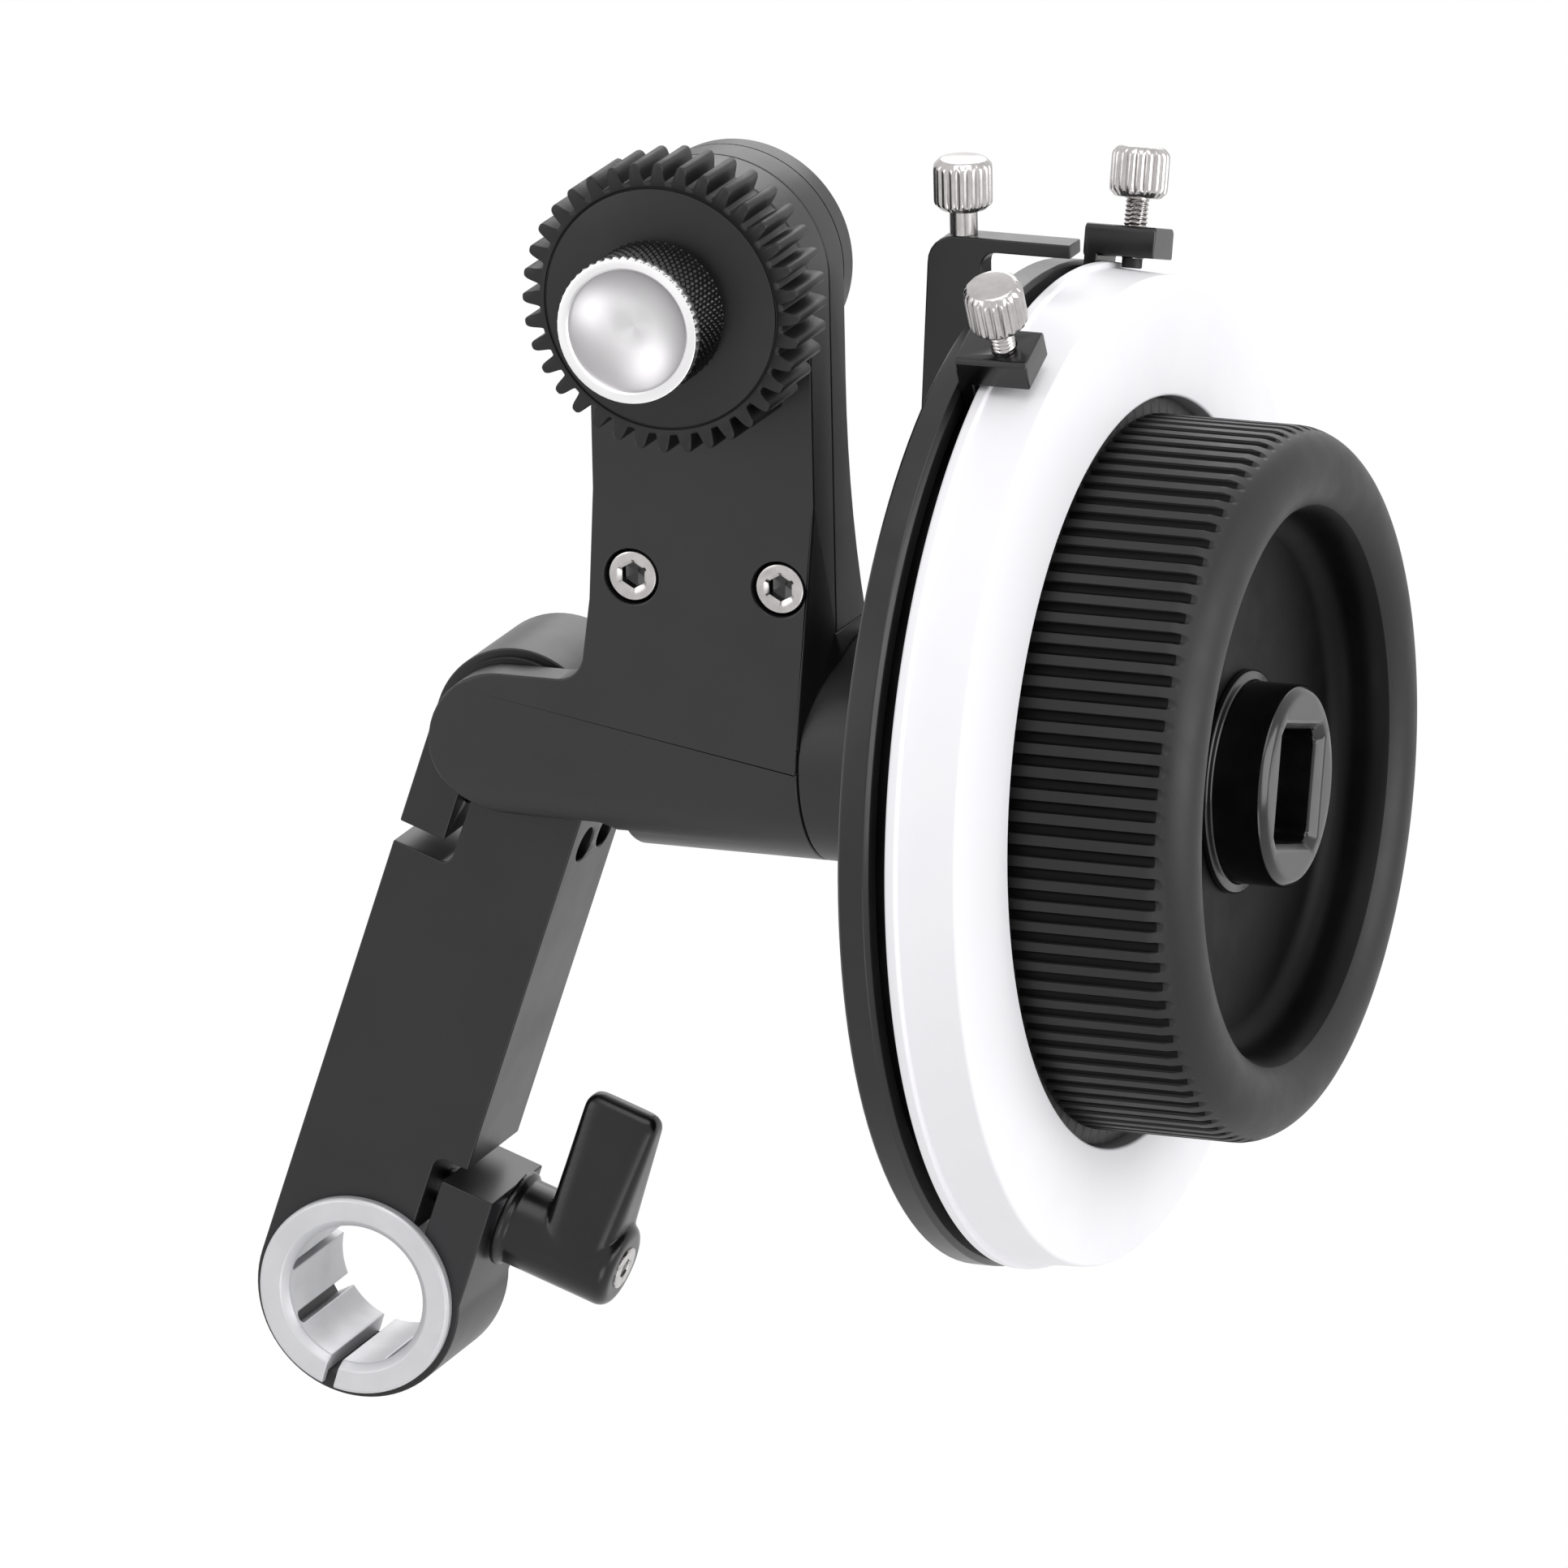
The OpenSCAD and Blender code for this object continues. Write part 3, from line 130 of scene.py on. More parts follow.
MAT = {
    "body": surface("body_anodised", (0.008, 0.0076, 0.0092), (0.011, 0.0105, 0.0125), (0.36, 0.42),
                    grain=7000, depth=0.03, strength=0.3, mottle=90, specular=0.5),
    "arm": surface("arm_anodised", (0.010, 0.0097, 0.0112), (0.013, 0.0125, 0.0145), (0.34, 0.40),
                   grain=5000, depth=0.012, strength=0.2, mottle=90, specular=0.42),
    "disc": surface("disc_anodised", (0.005, 0.005, 0.0058), (0.007, 0.007, 0.008), (0.28, 0.34),
                    grain=6000, depth=0.01, strength=0.2, specular=0.45),
    "silver": surface("silver_anodised", (0.66, 0.66, 0.68), (0.61, 0.61, 0.63), (0.38, 0.46),
                      metallic=0.35, grain=5000, depth=0.01, strength=0.25),
    "steel": surface("ground_steel", (0.52, 0.52, 0.54), (0.42, 0.42, 0.44), (0.24, 0.34),
                     metallic=1.0, grain=3000, depth=0.01, strength=0.25),
    "nickel": surface("bright_nickel", (0.54, 0.52, 0.515), (0.44, 0.425, 0.42), (0.16, 0.26),
                      metallic=1.0, grain=1800, depth=0.01, strength=0.2, mottle=600),
    "lever": surface("lever_black", (0.003, 0.003, 0.0034), (0.0045, 0.0045, 0.005), (0.22, 0.30),
                     grain=1500, depth=0.015, strength=0.2, specular=0.4),
    "gloss": surface("gloss_black", (0.002, 0.002, 0.0022), (0.004, 0.004, 0.0044), (0.16, 0.24),
                     grain=3000, depth=0.01, strength=0.2, specular=0.6),
    "brass": surface("cut_brass", (0.55, 0.40, 0.15), (0.45, 0.32, 0.12), (0.25, 0.35), metallic=1.0),
    "white": surface("white_marking", (0.875, 0.865, 0.89), (0.86, 0.85, 0.88), (0.42, 0.52),
                     grain=3500, depth=0.01, strength=0.2, mottle=120),
    "grip": surface("grip_charcoal", (0.0050, 0.0048, 0.0056), (0.0070, 0.0067, 0.0077), (0.46, 0.54),
                    grain=2600, depth=0.03, strength=0.3, specular=0.4),
    # a darker moulding with painted shade for the handwheel's dish, and painted shade for the grip's grooves
    "dish": surface("painted_shade_dish_and_grooves", (0.0012, 0.0012, 0.0014), (0.0018, 0.0018, 0.0020), (0.44, 0.52),
                    grain=2600, depth=0.02, strength=0.25, specular=0.12),
    "gear": surface("gear_moulded", (0.004, 0.004, 0.0046), (0.006, 0.006, 0.0068), (0.44, 0.54),
                    grain=2400, depth=0.02, strength=0.25, specular=0.4),
    "plain": surface("washer_black", (0.004, 0.004, 0.004), (0.006, 0.006, 0.006), (0.45, 0.55)),
    "belt": surface("belt_rubber", (0.012, 0.012, 0.012), (0.02, 0.02, 0.02), (0.6, 0.7)),
}


RING_PITCH = 0.12 * MM    # turning marks in the bright dish
DISH_EDGE_R = 6.42 * MM   # the flat bright edge starts here


def turned_metal(name, centre_x, centre_z):
    """Bright metal with fine rings about the gear's axis, which is along Y, and painted shade that darkens the bowl
    towards its edge.
    """
    m, t, b = shader(name)
    c = t.nodes.new("ShaderNodeTexCoord")
    shift = t.nodes.new("ShaderNodeVectorMath")
    shift.operation = "SUBTRACT"
    shift.inputs[1].default_value = (centre_x, 0, centre_z)
    t.links.new(c.outputs["Object"], shift.inputs[0])
    flat = t.nodes.new("ShaderNodeVectorMath")
    flat.operation = "MULTIPLY"
    flat.inputs[1].default_value = (1, 0, 1)
    t.links.new(shift.outputs[0], flat.inputs[0])
    radius = t.nodes.new("ShaderNodeVectorMath")
    radius.operation = "LENGTH"
    t.links.new(flat.outputs[0], radius.inputs[0])
    rings = t.nodes.new("ShaderNodeMath")
    rings.operation = "MULTIPLY"
    rings.inputs[1].default_value = 2 * math.pi / RING_PITCH
    t.links.new(radius.outputs["Value"], rings.inputs[0])
    ridge = t.nodes.new("ShaderNodeMath")
    ridge.operation = "SINE"
    t.links.new(rings.outputs[0], ridge.inputs[0])
    around = t.nodes.new("ShaderNodeVectorMath")
    around.operation = "CROSS_PRODUCT"
    around.inputs[1].default_value = (0, 1, 0)
    t.links.new(flat.outputs[0], around.inputs[0])
    unit = t.nodes.new("ShaderNodeVectorMath")
    unit.operation = "NORMALIZE"
    t.links.new(around.outputs[0], unit.inputs[0])
    t.links.new(unit.outputs[0], b.inputs["Tangent"])
    # painted shade: the bowl's colour darkens from radius 2.5 mm out to 6.2 mm, and beyond DISH_EDGE_R the flat
    # edge keeps a brighter colour
    shade = t.nodes.new("ShaderNodeMapRange")
    shade.inputs["From Min"].default_value = 2.5 * MM
    shade.inputs["From Max"].default_value = 6.2 * MM
    t.links.new(radius.outputs["Value"], shade.inputs["Value"])
    rim = t.nodes.new("ShaderNodeMath")
    rim.operation = "GREATER_THAN"
    rim.inputs[1].default_value = DISH_EDGE_R
    t.links.new(radius.outputs["Value"], rim.inputs[0])
    painted_bowl_shade = tint(t, shade.outputs[0], (0.66, 0.65, 0.66), (0.40, 0.39, 0.40))
    mix = t.nodes.new("ShaderNodeMix")
    mix.data_type = "RGBA"
    t.links.new(rim.outputs[0], mix.inputs[0])
    t.links.new(painted_bowl_shade, mix.inputs[6])
    mix.inputs[7].default_value = (0.82, 0.81, 0.82, 1)
    t.links.new(mix.outputs[2], b.inputs["Base Color"])
    b.inputs["Metallic"].default_value = 1.0
    b.inputs["Roughness"].default_value = 0.3
    b.inputs["Anisotropic"].default_value = 0.75
    bump(t, b, [(ridge.outputs[0], 0.004 * MM, 0.4)])
    return m


MAT["polished"] = turned_metal("polished_dish", TX, TZ)

LOOK = {
    "swing_arm": "arm", "rod_bush": "silver", "arm_clamp_screws": "steel", "clamp_lever": "lever",
    "lever_stud": "steel", "lever_screw": "nickel", "gearbox_housing": "body", "rear_cover": "body",
    "cover_screws": "nickel", "pivot_washer": "plain", "pivot_cap": "body", "pivot_screw": "nickel",
    "bearing_collar": "body", "input_bearings": "steel", "bearing_spacer": "silver", "input_shaft": "steel",
    "mitre_pinion": "steel", "mitre_gear": "brass", "cross_shaft": "steel", "cross_bearings": "steel",
    "lower_pulley": "silver", "timing_belt": "belt", "upper_pulley": "silver", "output_shaft": "body",
    "output_bearings": "steel", "lens_gear": "gear", "retaining_knob": "gloss", "knob_insert": "polished",
    "stop_disc": "disc", "marking_disc": "white", "disc_magnets": "nickel", "handwheel": "grip",
    "wheel_screws": "steel", "wheel_hub": "gloss", "hub_screw": "steel", "index_bracket": "disc",
    "index_ring_screw": "steel", "index_screw": "nickel", "front_stop_block": "gloss",
    "front_stop_screw": "nickel", "rear_stop_block": "gloss", "rear_stop_screw": "nickel",
}


def dress(obj, material):
    obj.data.materials.clear()
    obj.data.materials.append(material)
    for p in obj.data.polygons:
        p.material_index = 0


BODY_OF = {}
for body, names in frame["record"]["behaviour"]["bodies"].items():
    for n in names:
        BODY_OF[n] = body

for n, look in LOOK.items():
    dress(nodes[n], MAT[look])


# ---- Mesh helpers ----

def smooth(me, angle=32):
    for p in me.polygons:
        p.use_smooth = True
    me.set_sharp_from_angle(angle=math.radians(angle))


def mesh_piece(name, verts, faces, material, node=None, body=None, angle=32):
    """A piece from vertices in millimetres, riding on a body and standing for a CAD node."""
    me = bpy.data.meshes.new(name)
    me.from_pydata([tuple(c * MM for c in v) for v in verts], [], faces)
    bm = bmesh.new()
    bm.from_mesh(me)
    bmesh.ops.remove_doubles(bm, verts=bm.verts, dist=1e-7)
    bmesh.ops.recalc_face_normals(bm, faces=bm.faces)
    bm.to_mesh(me)
    bm.free()
    smooth(me, angle)
    o = bpy.data.objects.new(name, me)
    bpy.context.scene.collection.objects.link(o)
    me.materials.append(material)
    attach(o, body or BODY_OF[node])
    if node:
        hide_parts(node)
    return o


def eased(points, r=0.3, steps=3):
    """Rounds the corners of an open outline; a point may carry its own radius."""
    out = []
    for i, p in enumerate(points):
        radius = p[2] if len(p) > 2 else r
        if i in (0, len(points) - 1) or radius == 0:
            out.append((p[0], p[1]))
            continue
        a = Vector(points[i - 1][:2]) - Vector(p[:2])
        b = Vector(points[i + 1][:2]) - Vector(p[:2])
        turn = a.angle(b) if a.length > 1e-6 and b.length > 1e-6 else math.pi
        if turn > math.radians(175):
            out.append((p[0], p[1]))
            continue
        cut = min(radius / math.tan(turn / 2), a.length * 0.48, b.length * 0.48)
        radius = cut * math.tan(turn / 2)
        pa = Vector(p[:2]) + a.normalized() * cut
        pb = Vector(p[:2]) + b.normalized() * cut
        mid = (a.normalized() + b.normalized()).normalized()
        c = Vector(p[:2]) + mid * (radius / math.sin(turn / 2))
        va, vb = pa - c, pb - c
        sweep = va.angle_signed(vb)
        for k in range(steps + 1):
            s = -sweep * k / steps
            out.append((c.x + va.x * math.cos(s) - va.y * math.sin(s),
                        c.y + va.x * math.sin(s) + va.y * math.cos(s)))
    return out


def along(axis, origin, r, turn, a):
    """A point at radius r and angle turn about an axis through origin, a along it. Turn 0 is up (x, y)."""
    c, s = math.cos(turn), math.sin(turn)
    if axis == "x":
        return (origin[0] + a, origin[1] - r * s, origin[2] + r * c)
    if axis == "y":
        return (origin[0] + r * s, origin[1] + a, origin[2] + r * c)
    return (origin[0] + r * c, origin[1] + r * s, origin[2] + a)


def loop_faces(n, m):
    """Faces of n closed outlines of m points each, joined in a ring."""
    faces = []
    for i in range(n):
        k = (i + 1) % n
        for j in range(m):
            l = (j + 1) % m
            faces.append((i * m + j, i * m + l, k * m + l, k * m + j))
    return faces


def turned(name, axis, origin, outline, material, node=None, body=None, n=160, shape=None, angle=32):
    """A body of revolution from (radius, place along the axis) points; shape may change each radius."""
    verts = []
    for i in range(n):
        turn = 2 * math.pi * i / n
        for j, (r, a) in enumerate(outline):
            rr = shape(r, a, turn) if shape else r
            verts.append(along(axis, origin, rr, turn, a))
    return mesh_piece(name, verts, loop_faces(n, len(outline)), material, node, body, angle)


X0, Z0 = PX / MM, PZ / MM
WHEEL = (X0, 0.0, Z0)
GEAR = (TX / MM, 0.0, TZ / MM)


# ---- Handwheel: round grooves that run out where the rim rounds over ----

GRIP_R = 36.79                        # crests of the grip
GROOVES = 100
GROOVE_HALF, GROOVE_DEEP = 0.62, 0.6
HUB_HOLE_R, SEAT_R = 9.1, 38.3
WHEEL_BACK, GRIP_BACK, DISH_FLOOR = 57.9, 65.05, 76.67
DISH_R = 28.9                         # the dish's darker colour, a darker moulding with painted shade, reaches this far out


def arc(cr, cx, radius, start, stop, step):
    """Points (radius, place along the axis) round a centre, from angle start to stop."""
    count = max(1, round(abs(stop - start) / step))
    return [(cr + radius * math.cos(math.radians(start + (stop - start) * k / count)),
             cx + radius * math.sin(math.radians(start + (stop - start) * k / count))) for k in range(count + 1)]


def handwheel():
    pitch = 2 * math.pi * GRIP_R / GROOVES
    back = [(HUB_HOLE_R, WHEEL_BACK), (SEAT_R, WHEEL_BACK), (SEAT_R, GRIP_BACK - 0.3), (SEAT_R - 0.3, GRIP_BACK),
            (GRIP_R + 0.16, GRIP_BACK)]
    grip = [(GRIP_R, x) for x in [65.25, 66, 68, 70, 72, 74, 76, 78, 79.3]]
    rim = arc(32.2, 79.63, 4.6, 0, 39, 3) + arc(32.2, 79.63, 4.6, 45, 90, 6)
    dish = arc(32.0, 80.23, 4.0, 90, 180, 7.5) + arc(25.5, 79.17, 2.5, 0, -90, 10)
    outline = back + grip + rim + dish + [(14, DISH_FLOOR), (HUB_HOLE_R, DISH_FLOOR)]
    # places across one groove, as shares of the pitch
    steps = [-0.5, -0.36, -0.285, -0.268, -0.245, -0.2, -0.12, -0.04, 0.04, 0.12, 0.2, 0.245, 0.268, 0.285, 0.36]
    verts = []
    n = GROOVES * len(steps)
    for i in range(n):
        s = steps[i % len(steps)]
        turn = 2 * math.pi * (i // len(steps) + s) / GROOVES
        d = abs(s) * pitch / GROOVE_HALF
        floor = GRIP_R - GROOVE_DEEP * math.sqrt(1 - d * d) if d < 1 else GRIP_R
        for r, x in outline:
            verts.append(along("x", WHEEL, min(r, floor) if 65.0 < x < 83 and r > 33 else r, turn, x))
    o = mesh_piece("grip_wheel", verts, loop_faces(n, len(outline)), MAT["grip"], "handwheel", angle=28)
    # the dish and the grooves are coloured blacker than the grip: painted shade in the grooves' hollows, and in the
    # dish a darker moulding with painted shade
    o.data.materials.append(MAT["dish"])
    for p in o.data.polygons:
        c = p.center / MM
        r = math.hypot(c.y, c.z - Z0)
        in_dish = c.x - X0 > 70 and r < DISH_R
        painted_groove_shade = 65.3 < c.x - X0 < 81 and 34 < r < GRIP_R - 0.22
        if in_dish or painted_groove_shade:
            p.material_index = 1


handwheel()


# ---- White marking disc: a narrow lip behind the band, and a front that falls towards the edge ----

turned("white_disc", "x", WHEEL, eased([
    (38.65, 60), (38.65, 57.87, 0.3), (51.79, 57.87, 0.3), (51.79, 59.03, 0.2), (51.2, 59.06, 0.1),
    (50.92, 65.32, 0.55), (38.66, 66.24, 0.3), (38.65, 60)], 0.3, 5)[:-1], MAT["white"], "marking_disc", n=360)


# ---- Lens gear and its knob ----

GEAR_TEETH, KNURLS, SERRATIONS = 36, 52, 52
# half a tooth: share of the pitch from its middle, and depth below the crest
FLANK = ((0, 0), (0.06, 0.01), (0.1, 0.035), (0.14, 0.11), (0.18, 0.25), (0.21, 0.39), (0.24, 0.62), (0.28, 1.1),
         (0.32, 1.55), (0.355, 1.8), (0.41, 1.86), (0.5, 1.86))


def tooth(r, a, turn):
    """Teeth with wide rounded crests on what lies outside radius 13."""
    if r < 13:
        return r
    t = abs((turn * GEAR_TEETH / (2 * math.pi) + 0.5) % 1 - 0.5)
    for (t0, d0), (t1, d1) in zip(FLANK, FLANK[1:]):
        if t <= t1 + 1e-9:
            return r - d0 - (d1 - d0) * (t - t0) / (t1 - t0)
    return r - FLANK[-1][1]


turned("drive_gear", "y", GEAR, [
    (3.1, -14.42), (14.9, -14.42), (15.1, -14.5), (15.2, -14.7), (15.2, -22.05), (15.1, -22.28), (14.9, -22.38),
    (12.85, -22.38), (12.72, -22.3), (12.68, -22.12), (12.6, -22.08), (12.52, -22.12), (12.48, -22.3),
    (12.35, -22.38), (3.1, -22.38)], MAT["gear"], "lens_gear", n=GEAR_TEETH * 28, shape=tooth, angle=44)


def wave(x):
    """A triangle wave from 1 to 0 and back over each whole step of x."""
    return abs((x % 1) * 2 - 1)


def diamond(r, a, turn):
    """The crossed knurl on the knob's side."""
    if r < 7.5 or not -30.2 < a < -23.8:
        return r
    u = turn * KNURLS / (2 * math.pi)
    v = (a + 30) / 1.1
    return r - 0.34 * max(wave(u + v), wave(u - v)) ** 1.3


turned("knurled_knob", "y", GEAR,
       [(3.1, -22.42), (6.6, -22.42), (6.75, -22.55), (6.75, -23.4), (7.1, -23.62), (7.45, -23.75)]
       + [(7.62, -23.9 - 0.183 * i) for i in range(35)]
       + [(7.45, -30.3), (7.2, -30.42), (5.3, -30.42), (5.3, -27.2), (3.1, -27.2)],
       MAT["gloss"], "retaining_knob", n=KNURLS * 7, shape=diamond, angle=60)


def serrated(r, a, turn):
    """The fine ribs on the bright ring's side."""
    if r < 7.2 or a < -31.45:
        return r
    return r - 0.2 * wave(turn * SERRATIONS / (2 * math.pi)) ** 0.8


BOWL_R = 11.9             # radius of the sphere that the dish is cut with
turned("dished_ring", "y", GEAR,
       [(r, -31.58 + 2.1 - (BOWL_R - math.sqrt(BOWL_R * BOWL_R - r * r))) for r in
        [0.02, 0.4, 0.8, 1.2, 1.7, 2.2, 2.8, 3.4, 4.0, 4.6, 5.2, 5.7, 6.1, 6.38]]
       + [(6.5, -31.46), (6.62, -31.56), (7.4, -31.58), (7.52, -31.54), (7.62, -31.4), (7.68, -31.2), (7.68, -30.6),
          (7.5, -30.45), (5.18, -30.45), (5.18, -27.2), (0.02, -27.2)],
       MAT["polished"], "knob_insert", n=SERRATIONS * 6, shape=serrated)


# ---- Screws ----

THREAD_PITCH, HEAD_FLUTES = 0.45, 18
STOP_MIDDLE = 60.55       # middle of the stop blocks along the wheel's axis


def thumb_head(r, a, turn):
    if r < 2.5 or not 0.35 < a < 4.95:
        return r
    w = abs(math.sin(turn * HEAD_FLUTES / 2))
    edge = min(1.0, (a - 0.35) / 0.5, (4.95 - a) / 0.5)
    return r - 0.26 * (1 - w) ** 1.2 * edge


def thumb_screw(name, node, place, shank_r, shank, tip_r, tip, threaded):
    """A thumb screw along +Z whose head sits on the origin, moved into its place."""
    def shape(r, a, turn):
        if threaded and a < -0.15 and r > 0.5:
            return r - 0.2 * wave(a / THREAD_PITCH - turn / (2 * math.pi))
        return thumb_head(r, a, turn)

    steps = int(shank / 0.075)
    outline = [(0.02, -shank - tip), (tip_r - 0.1, -shank - tip), (tip_r, -shank - tip + 0.1), (tip_r, -shank)]
    outline += [(shank_r, -shank + shank * i / steps) for i in range(steps + 1)]
    outline += [(2.2, 0.02), (2.45, 0.12), (2.95, 0.62), (3.02, 0.85), (3.04, 1.2), (3.04, 2.0), (3.04, 2.8),
                (3.04, 3.5), (3.04, 4.1), (3.02, 4.45), (2.93, 4.7), (2.5, 5.15), (2.35, 5.24), (2.1, 5.28),
                (0.02, 5.28)]
    verts = []
    n = 180
    for i in range(n):
        t = 2 * math.pi * i / n
        for r, a in outline:
            verts.append(place @ Vector(along("z", (0, 0, 0), shape(r, a, t), t, a)))
    o = mesh_piece(name, verts, loop_faces(n, len(outline)), MAT["nickel"], node, angle=38)
    if threaded:
        # the tip that bears on the disc is coloured black
        o.data.materials.append(MAT["plain"])
        back = place.inverted()
        for p in o.data.polygons:
            if (back @ (p.center / MM)).z < -shank - 0.02:
                p.material_index = 1


def on_rim(angle, radius):
    """The place of a screw that stands on the rim, angle from straight up."""
    return (Matrix.Translation((X0, 0, Z0)) @ Matrix.Rotation(math.radians(angle), 4, "X")
            @ Matrix.Translation((STOP_MIDDLE, 0, radius)))


thumb_screw("front_thumb_screw", "front_stop_screw", on_rim(24, 58.1), 1.25, 5.8, 1.15, 1.0, True)
thumb_screw("rear_thumb_screw", "rear_stop_screw", on_rim(-16, 58.5), 1.25, 6.2, 1.15, 1.0, True)
thumb_screw("index_thumb_screw", "index_screw", Matrix.Translation((X0 + 49.9, -5.75, Z0 + 59.9)),
            1.45, 2.55, 1.0, 6.9, False)


def hexagon(limit):
    """Turns the circles up to radius limit into a hexagonal socket."""
    def shape(r, a, turn):
        if r > limit or r < 0.1:
            return r
        return r * math.cos(math.radians(30)) / math.cos((turn % math.radians(60)) - math.radians(30))
    return shape


for k, side in enumerate((-1, 1)):
    c = (GEAR[0] + side * 8.1, 0.0, Z0 + 19.7)
    o = turned("socket_screw_%d" % k, "y", c, [
        (0.02, -10.05), (0.9, -10.2), (1.42, -10.35), (1.42, -11.4), (1.72, -11.66), (2.35, -11.68), (2.55, -11.62),
        (2.72, -11.4), (2.74, -11.2), (2.74, -8.75), (1.5, -8.75), (1.5, -3.3), (0.02, -3.3)],
        MAT["nickel"], None, "gearbox", n=72, shape=hexagon(1.45))
    # the socket is painted darker than the head, as shade in its hollow
    o.data.materials.append(MAT["gloss"])
    for p in o.data.polygons:
        d = p.center / MM
        if math.hypot(d.x - c[0], d.z - c[2]) < 1.4:
            p.material_index = 1
    if k:
        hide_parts("cover_screws")


# ---- Clamp lever: a teardrop blade that flows into its round boss ----

def lever():
    arm_turn = Matrix.Rotation(math.radians(19.3), 4, "Y")
    place = Matrix.Translation((X0, 0, Z0)) @ arm_turn @ Matrix.Translation((0, 0, -53.4))
    bm = bmesh.new()
    r_boss, tip_r, tip_w = 4.7, 1.7, 15.7
    lean = math.asin((r_boss - tip_r) / tip_w)
    w_low, w_high = r_boss * math.sin(lean), tip_w + tip_r * math.sin(lean)
    levels = [-4.69, -4.6, -4.3, -3.8, -3, -2, -1, 0, 1, 2, 3, 4, 6, 8, 10, 12, 13.5, 14.5, 15.3, 16, 16.5, 16.9,
              17.15, 17.3, 17.38]
    rings = []
    for w in levels:
        if w < w_low:
            half = math.sqrt(max(0.02, r_boss ** 2 - w * w))
        elif w < w_high:
            f = (w - w_low) / (w_high - w_low)
            half = r_boss * math.cos(lean) * (1 - f) + tip_r * math.cos(lean) * f
        else:
            half = math.sqrt(max(0.01, tip_r ** 2 - (w - tip_w) ** 2))
        inset = 0.0
        if w > 15.7:
            inset = 1.7 - math.sqrt(max(0.0, 1.7 ** 2 - (w - 15.7) ** 2))
        u0, u1 = 17.9 - 0.03 * w + inset, 25.8 + inset * -1
        if w < 0:
            u1 = 25.9
        cu, hu = (u0 + u1) / 2, (u1 - u0) / 2
        ring = []
        for k in range(64):
            a = 2 * math.pi * k / 64
            c, s = math.cos(a), math.sin(a)
            p = 5.0
            q = (abs(c) ** p + abs(s) ** p) ** (-1 / p)
            ring.append(bm.verts.new(place @ Vector((cu + hu * q * c, half * q * s, w)) * MM))
        rings.append(ring)
    for a, b in zip(rings, rings[1:]):
        for k in range(64):
            l = (k + 1) % 64
            bm.faces.new((a[k], a[l], b[l], b[k]))
    bm.faces.new(rings[0][::-1])
    bm.faces.new(rings[-1])
    outline = eased([(0.0, 13.4), (5.25, 13.4, 0.2), (5.25, 14.2, 0.3), (4.7, 14.5, 0.2), (4.7, 26.7, 1.3),
                     (0.0, 26.7)], 0.2, 6)
    lathe = []
    for i in range(96):
        t = 2 * math.pi * i / 96
        lathe.append([bm.verts.new(place @ Vector((x, -r * math.sin(t), r * math.cos(t))) * MM)
                      for r, x in outline[1:-1]])
    ends = (bm.verts.new(place @ Vector((outline[0][1], 0, 0)) * MM),
            bm.verts.new(place @ Vector((outline[-1][1], 0, 0)) * MM))
    for i in range(96):
        k = (i + 1) % 96
        for j in range(len(outline) - 3):
            bm.faces.new((lathe[i][j], lathe[i][j + 1], lathe[k][j + 1], lathe[k][j]))
        bm.faces.new((ends[0], lathe[i][0], lathe[k][0]))
        bm.faces.new((lathe[i][-1], ends[1], lathe[k][-1]))
    bmesh.ops.recalc_face_normals(bm, faces=bm.faces)
    me = bpy.data.meshes.new("lever_body")
    bm.to_mesh(me)
    bm.free()
    o = bpy.data.objects.new("lever_body", me)
    bpy.context.scene.collection.objects.link(o)
    me.materials.append(MAT["lever"])
    grid = o.modifiers.new("blend", "REMESH")
    grid.mode = "VOXEL"
    grid.voxel_size = 0.16 * MM
    soft = o.modifiers.new("soften", "SMOOTH")
    soft.factor = 0.5
    soft.iterations = 14
    grid.use_smooth_shade = True
    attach(o, "lever")
    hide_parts("clamp_lever")


lever()


# ---- Pieces kept from the CAD, with their sharp edges broken ----

EDGE_ANGLE = 28           # edges sharper than this are rounded


def refined(node, width):
    """A copy of a CAD piece whose sharp edges get a small round."""
    me = nodes[node].data.copy()
    bm = bmesh.new()
    bm.from_mesh(me)
    bmesh.ops.remove_doubles(bm, verts=bm.verts, dist=2e-7)
    bmesh.ops.dissolve_limit(bm, angle_limit=math.radians(0.03), verts=bm.verts, edges=bm.edges)
    bmesh.ops.dissolve_degenerate(bm, dist=2e-6, edges=bm.edges)
    # an edge beside a sliver of a face stays as it is
    sharp = [e for e in bm.edges if len(e.link_faces) == 2 and e.calc_face_angle(0) > math.radians(EDGE_ANGLE)
             and min(f.calc_area() for f in e.link_faces) > e.calc_length() * 2e-5]
    bmesh.ops.bevel(bm, geom=sharp, offset=width * MM, segments=2, profile=0.5, affect="EDGES",
                    clamp_overlap=False)
    # wide faces with many corners are cut into well shaped triangles
    bmesh.ops.triangulate(bm, faces=[f for f in bm.faces if len(f.verts) > 4], ngon_method="BEAUTY")
    bm.to_mesh(me)
    bm.free()
    me.materials.clear()
    me.materials.append(MAT[LOOK[node]])
    smooth(me, 35)
    o = bpy.data.objects.new(node + "_finished", me)
    bpy.context.scene.collection.objects.link(o)
    mod = o.modifiers.new("normals", "WEIGHTED_NORMAL")
    mod.keep_sharp = True
    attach(o, BODY_OF[node])
    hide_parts(node)


for node, width in (("gearbox_housing", 0.22), ("rear_cover", 0.2), ("swing_arm", 0.2), ("rod_bush", 0.12),
                    ("wheel_hub", 0.22), ("index_bracket", 0.2), ("front_stop_block", 0.18),
                    ("rear_stop_block", 0.18), ("stop_disc", 0.1), ("lever_screw", 0.1),
                    ("bearing_collar", 0.12), ("pivot_cap", 0.12), ("pivot_screw", 0.15)):
    refined(node, width)


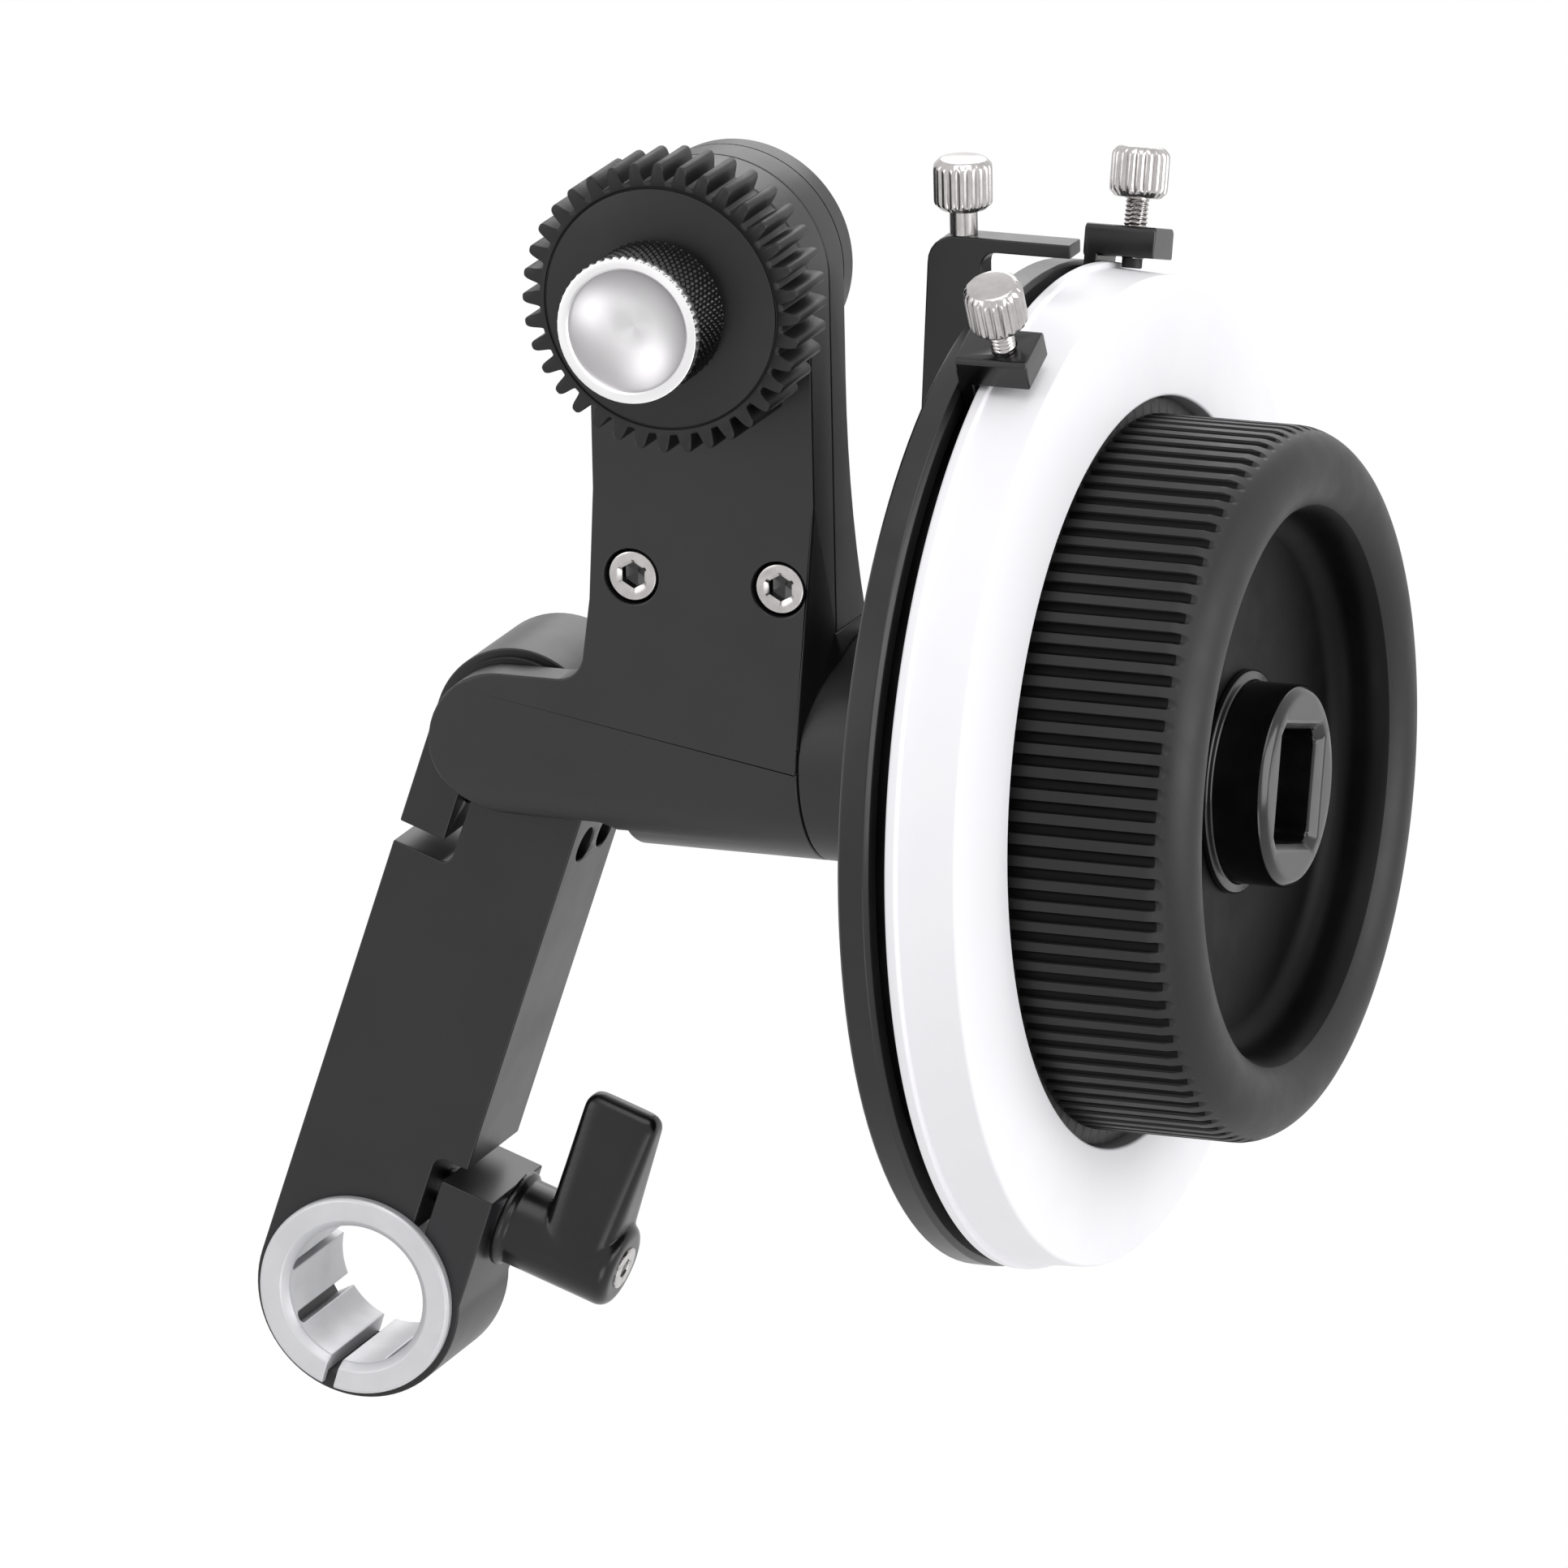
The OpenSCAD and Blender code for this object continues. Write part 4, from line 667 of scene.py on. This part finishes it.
# ---- Stage, camera and light ----

def plane(name, size, place, material):
    me = bpy.data.meshes.new(name)
    s = size / 2
    me.from_pydata([(-s, -s, 0), (s, -s, 0), (s, s, 0), (-s, s, 0)], [], [(0, 1, 2, 3)])
    o = bpy.data.objects.new(name, me)
    o.location = place
    bpy.context.scene.collection.objects.link(o)
    me.materials.append(material)
    return o


pale, pale_tree, pale_surface = shader("pale_floor")
pale_surface.inputs["Base Color"].default_value = (0.85, 0.85, 0.85, 1)
pale_surface.inputs["Roughness"].default_value = 0.8
floor = plane("floor", 0.6, (0.04, 0, -0.30), pale)

WORLD_LIGHT, WORLD_SEEN = 0.50, 1.0   # what lights the object, and what the camera and reflections see
world = bpy.data.worlds.new("studio")
bpy.context.scene.world = world
world.use_nodes = True
wt = world.node_tree
bg = wt.nodes["Background"]
bg.inputs["Color"].default_value = (1, 1, 1, 1)
bg.inputs["Strength"].default_value = WORLD_LIGHT
seen = wt.nodes.new("ShaderNodeBackground")
seen.inputs["Color"].default_value = (1, 1, 1, 1)
seen.inputs["Strength"].default_value = WORLD_SEEN
rays = wt.nodes.new("ShaderNodeLightPath")
either = wt.nodes.new("ShaderNodeMath")
either.operation = "MAXIMUM"
wt.links.new(rays.outputs["Is Camera Ray"], either.inputs[0])
wt.links.new(rays.outputs["Is Transmission Ray"], either.inputs[1])
also = wt.nodes.new("ShaderNodeMath")
also.operation = "MAXIMUM"
wt.links.new(either.outputs[0], also.inputs[0])
wt.links.new(rays.outputs["Is Glossy Ray"], also.inputs[1])
pick = wt.nodes.new("ShaderNodeMixShader")
wt.links.new(also.outputs[0], pick.inputs[0])
wt.links.new(bg.outputs[0], pick.inputs[1])
wt.links.new(seen.outputs[0], pick.inputs[2])
wt.links.new(pick.outputs[0], wt.nodes["World Output"].inputs["Surface"])


def softbox(name, place, target, size, power):
    data = bpy.data.lights.new(name, "AREA")
    data.shape = "RECTANGLE"
    data.size = size
    data.size_y = size
    data.energy = power
    o = bpy.data.objects.new(name, data)
    o.location = place
    o.rotation_euler = (Vector(target) - Vector(place)).to_track_quat("-Z", "Y").to_euler()
    bpy.context.scene.collection.objects.link(o)


AIM = (0.05, 0, 0.06)
softbox("key_top", (0.25, -0.35, 1.0), AIM, 0.8, 3.6)
softbox("side_right", (1.1, -0.1, 0.30), AIM, 0.9, 8)
softbox("side_left", (-0.8, -0.9, 0.5), AIM, 0.8, 3)
softbox("back_top", (-0.1, 0.9, 0.7), AIM, 0.7, 3)
softbox("low_front", (0.25, -0.5, -0.22), (0.06, 0, 0.03), 0.3, 0.6)

# The camera looks from the front right, a little from above
CAMERA_AT = (0.76370, -1.79277, 0.63524)
LENS_MM, SENSOR_MM = 448.8, 36
AZ, EL, ROLL = math.radians(21.8075), math.radians(16.650), math.radians(-1.2046)
back = Vector((math.sin(AZ) * math.cos(EL), -math.cos(AZ) * math.cos(EL), math.sin(EL)))
right0 = Vector((math.cos(AZ), math.sin(AZ), 0))
down0 = (-back).cross(right0)
right = math.cos(ROLL) * right0 - math.sin(ROLL) * down0
down = math.sin(ROLL) * right0 + math.cos(ROLL) * down0
cam_data = bpy.data.cameras.new("camera")
cam_data.lens = LENS_MM
cam_data.sensor_width = SENSOR_MM
cam_data.clip_start = 0.1
cam_data.clip_end = 20
cam = bpy.data.objects.new("camera", cam_data)
cam.matrix_world = Matrix((
    (right[0], -down[0], back[0], CAMERA_AT[0]),
    (right[1], -down[1], back[1], CAMERA_AT[1]),
    (right[2], -down[2], back[2], CAMERA_AT[2]),
    (0, 0, 0, 1)))
bpy.context.scene.collection.objects.link(cam)
bpy.context.scene.camera = cam
bpy.context.scene.view_settings.view_transform = "Standard"
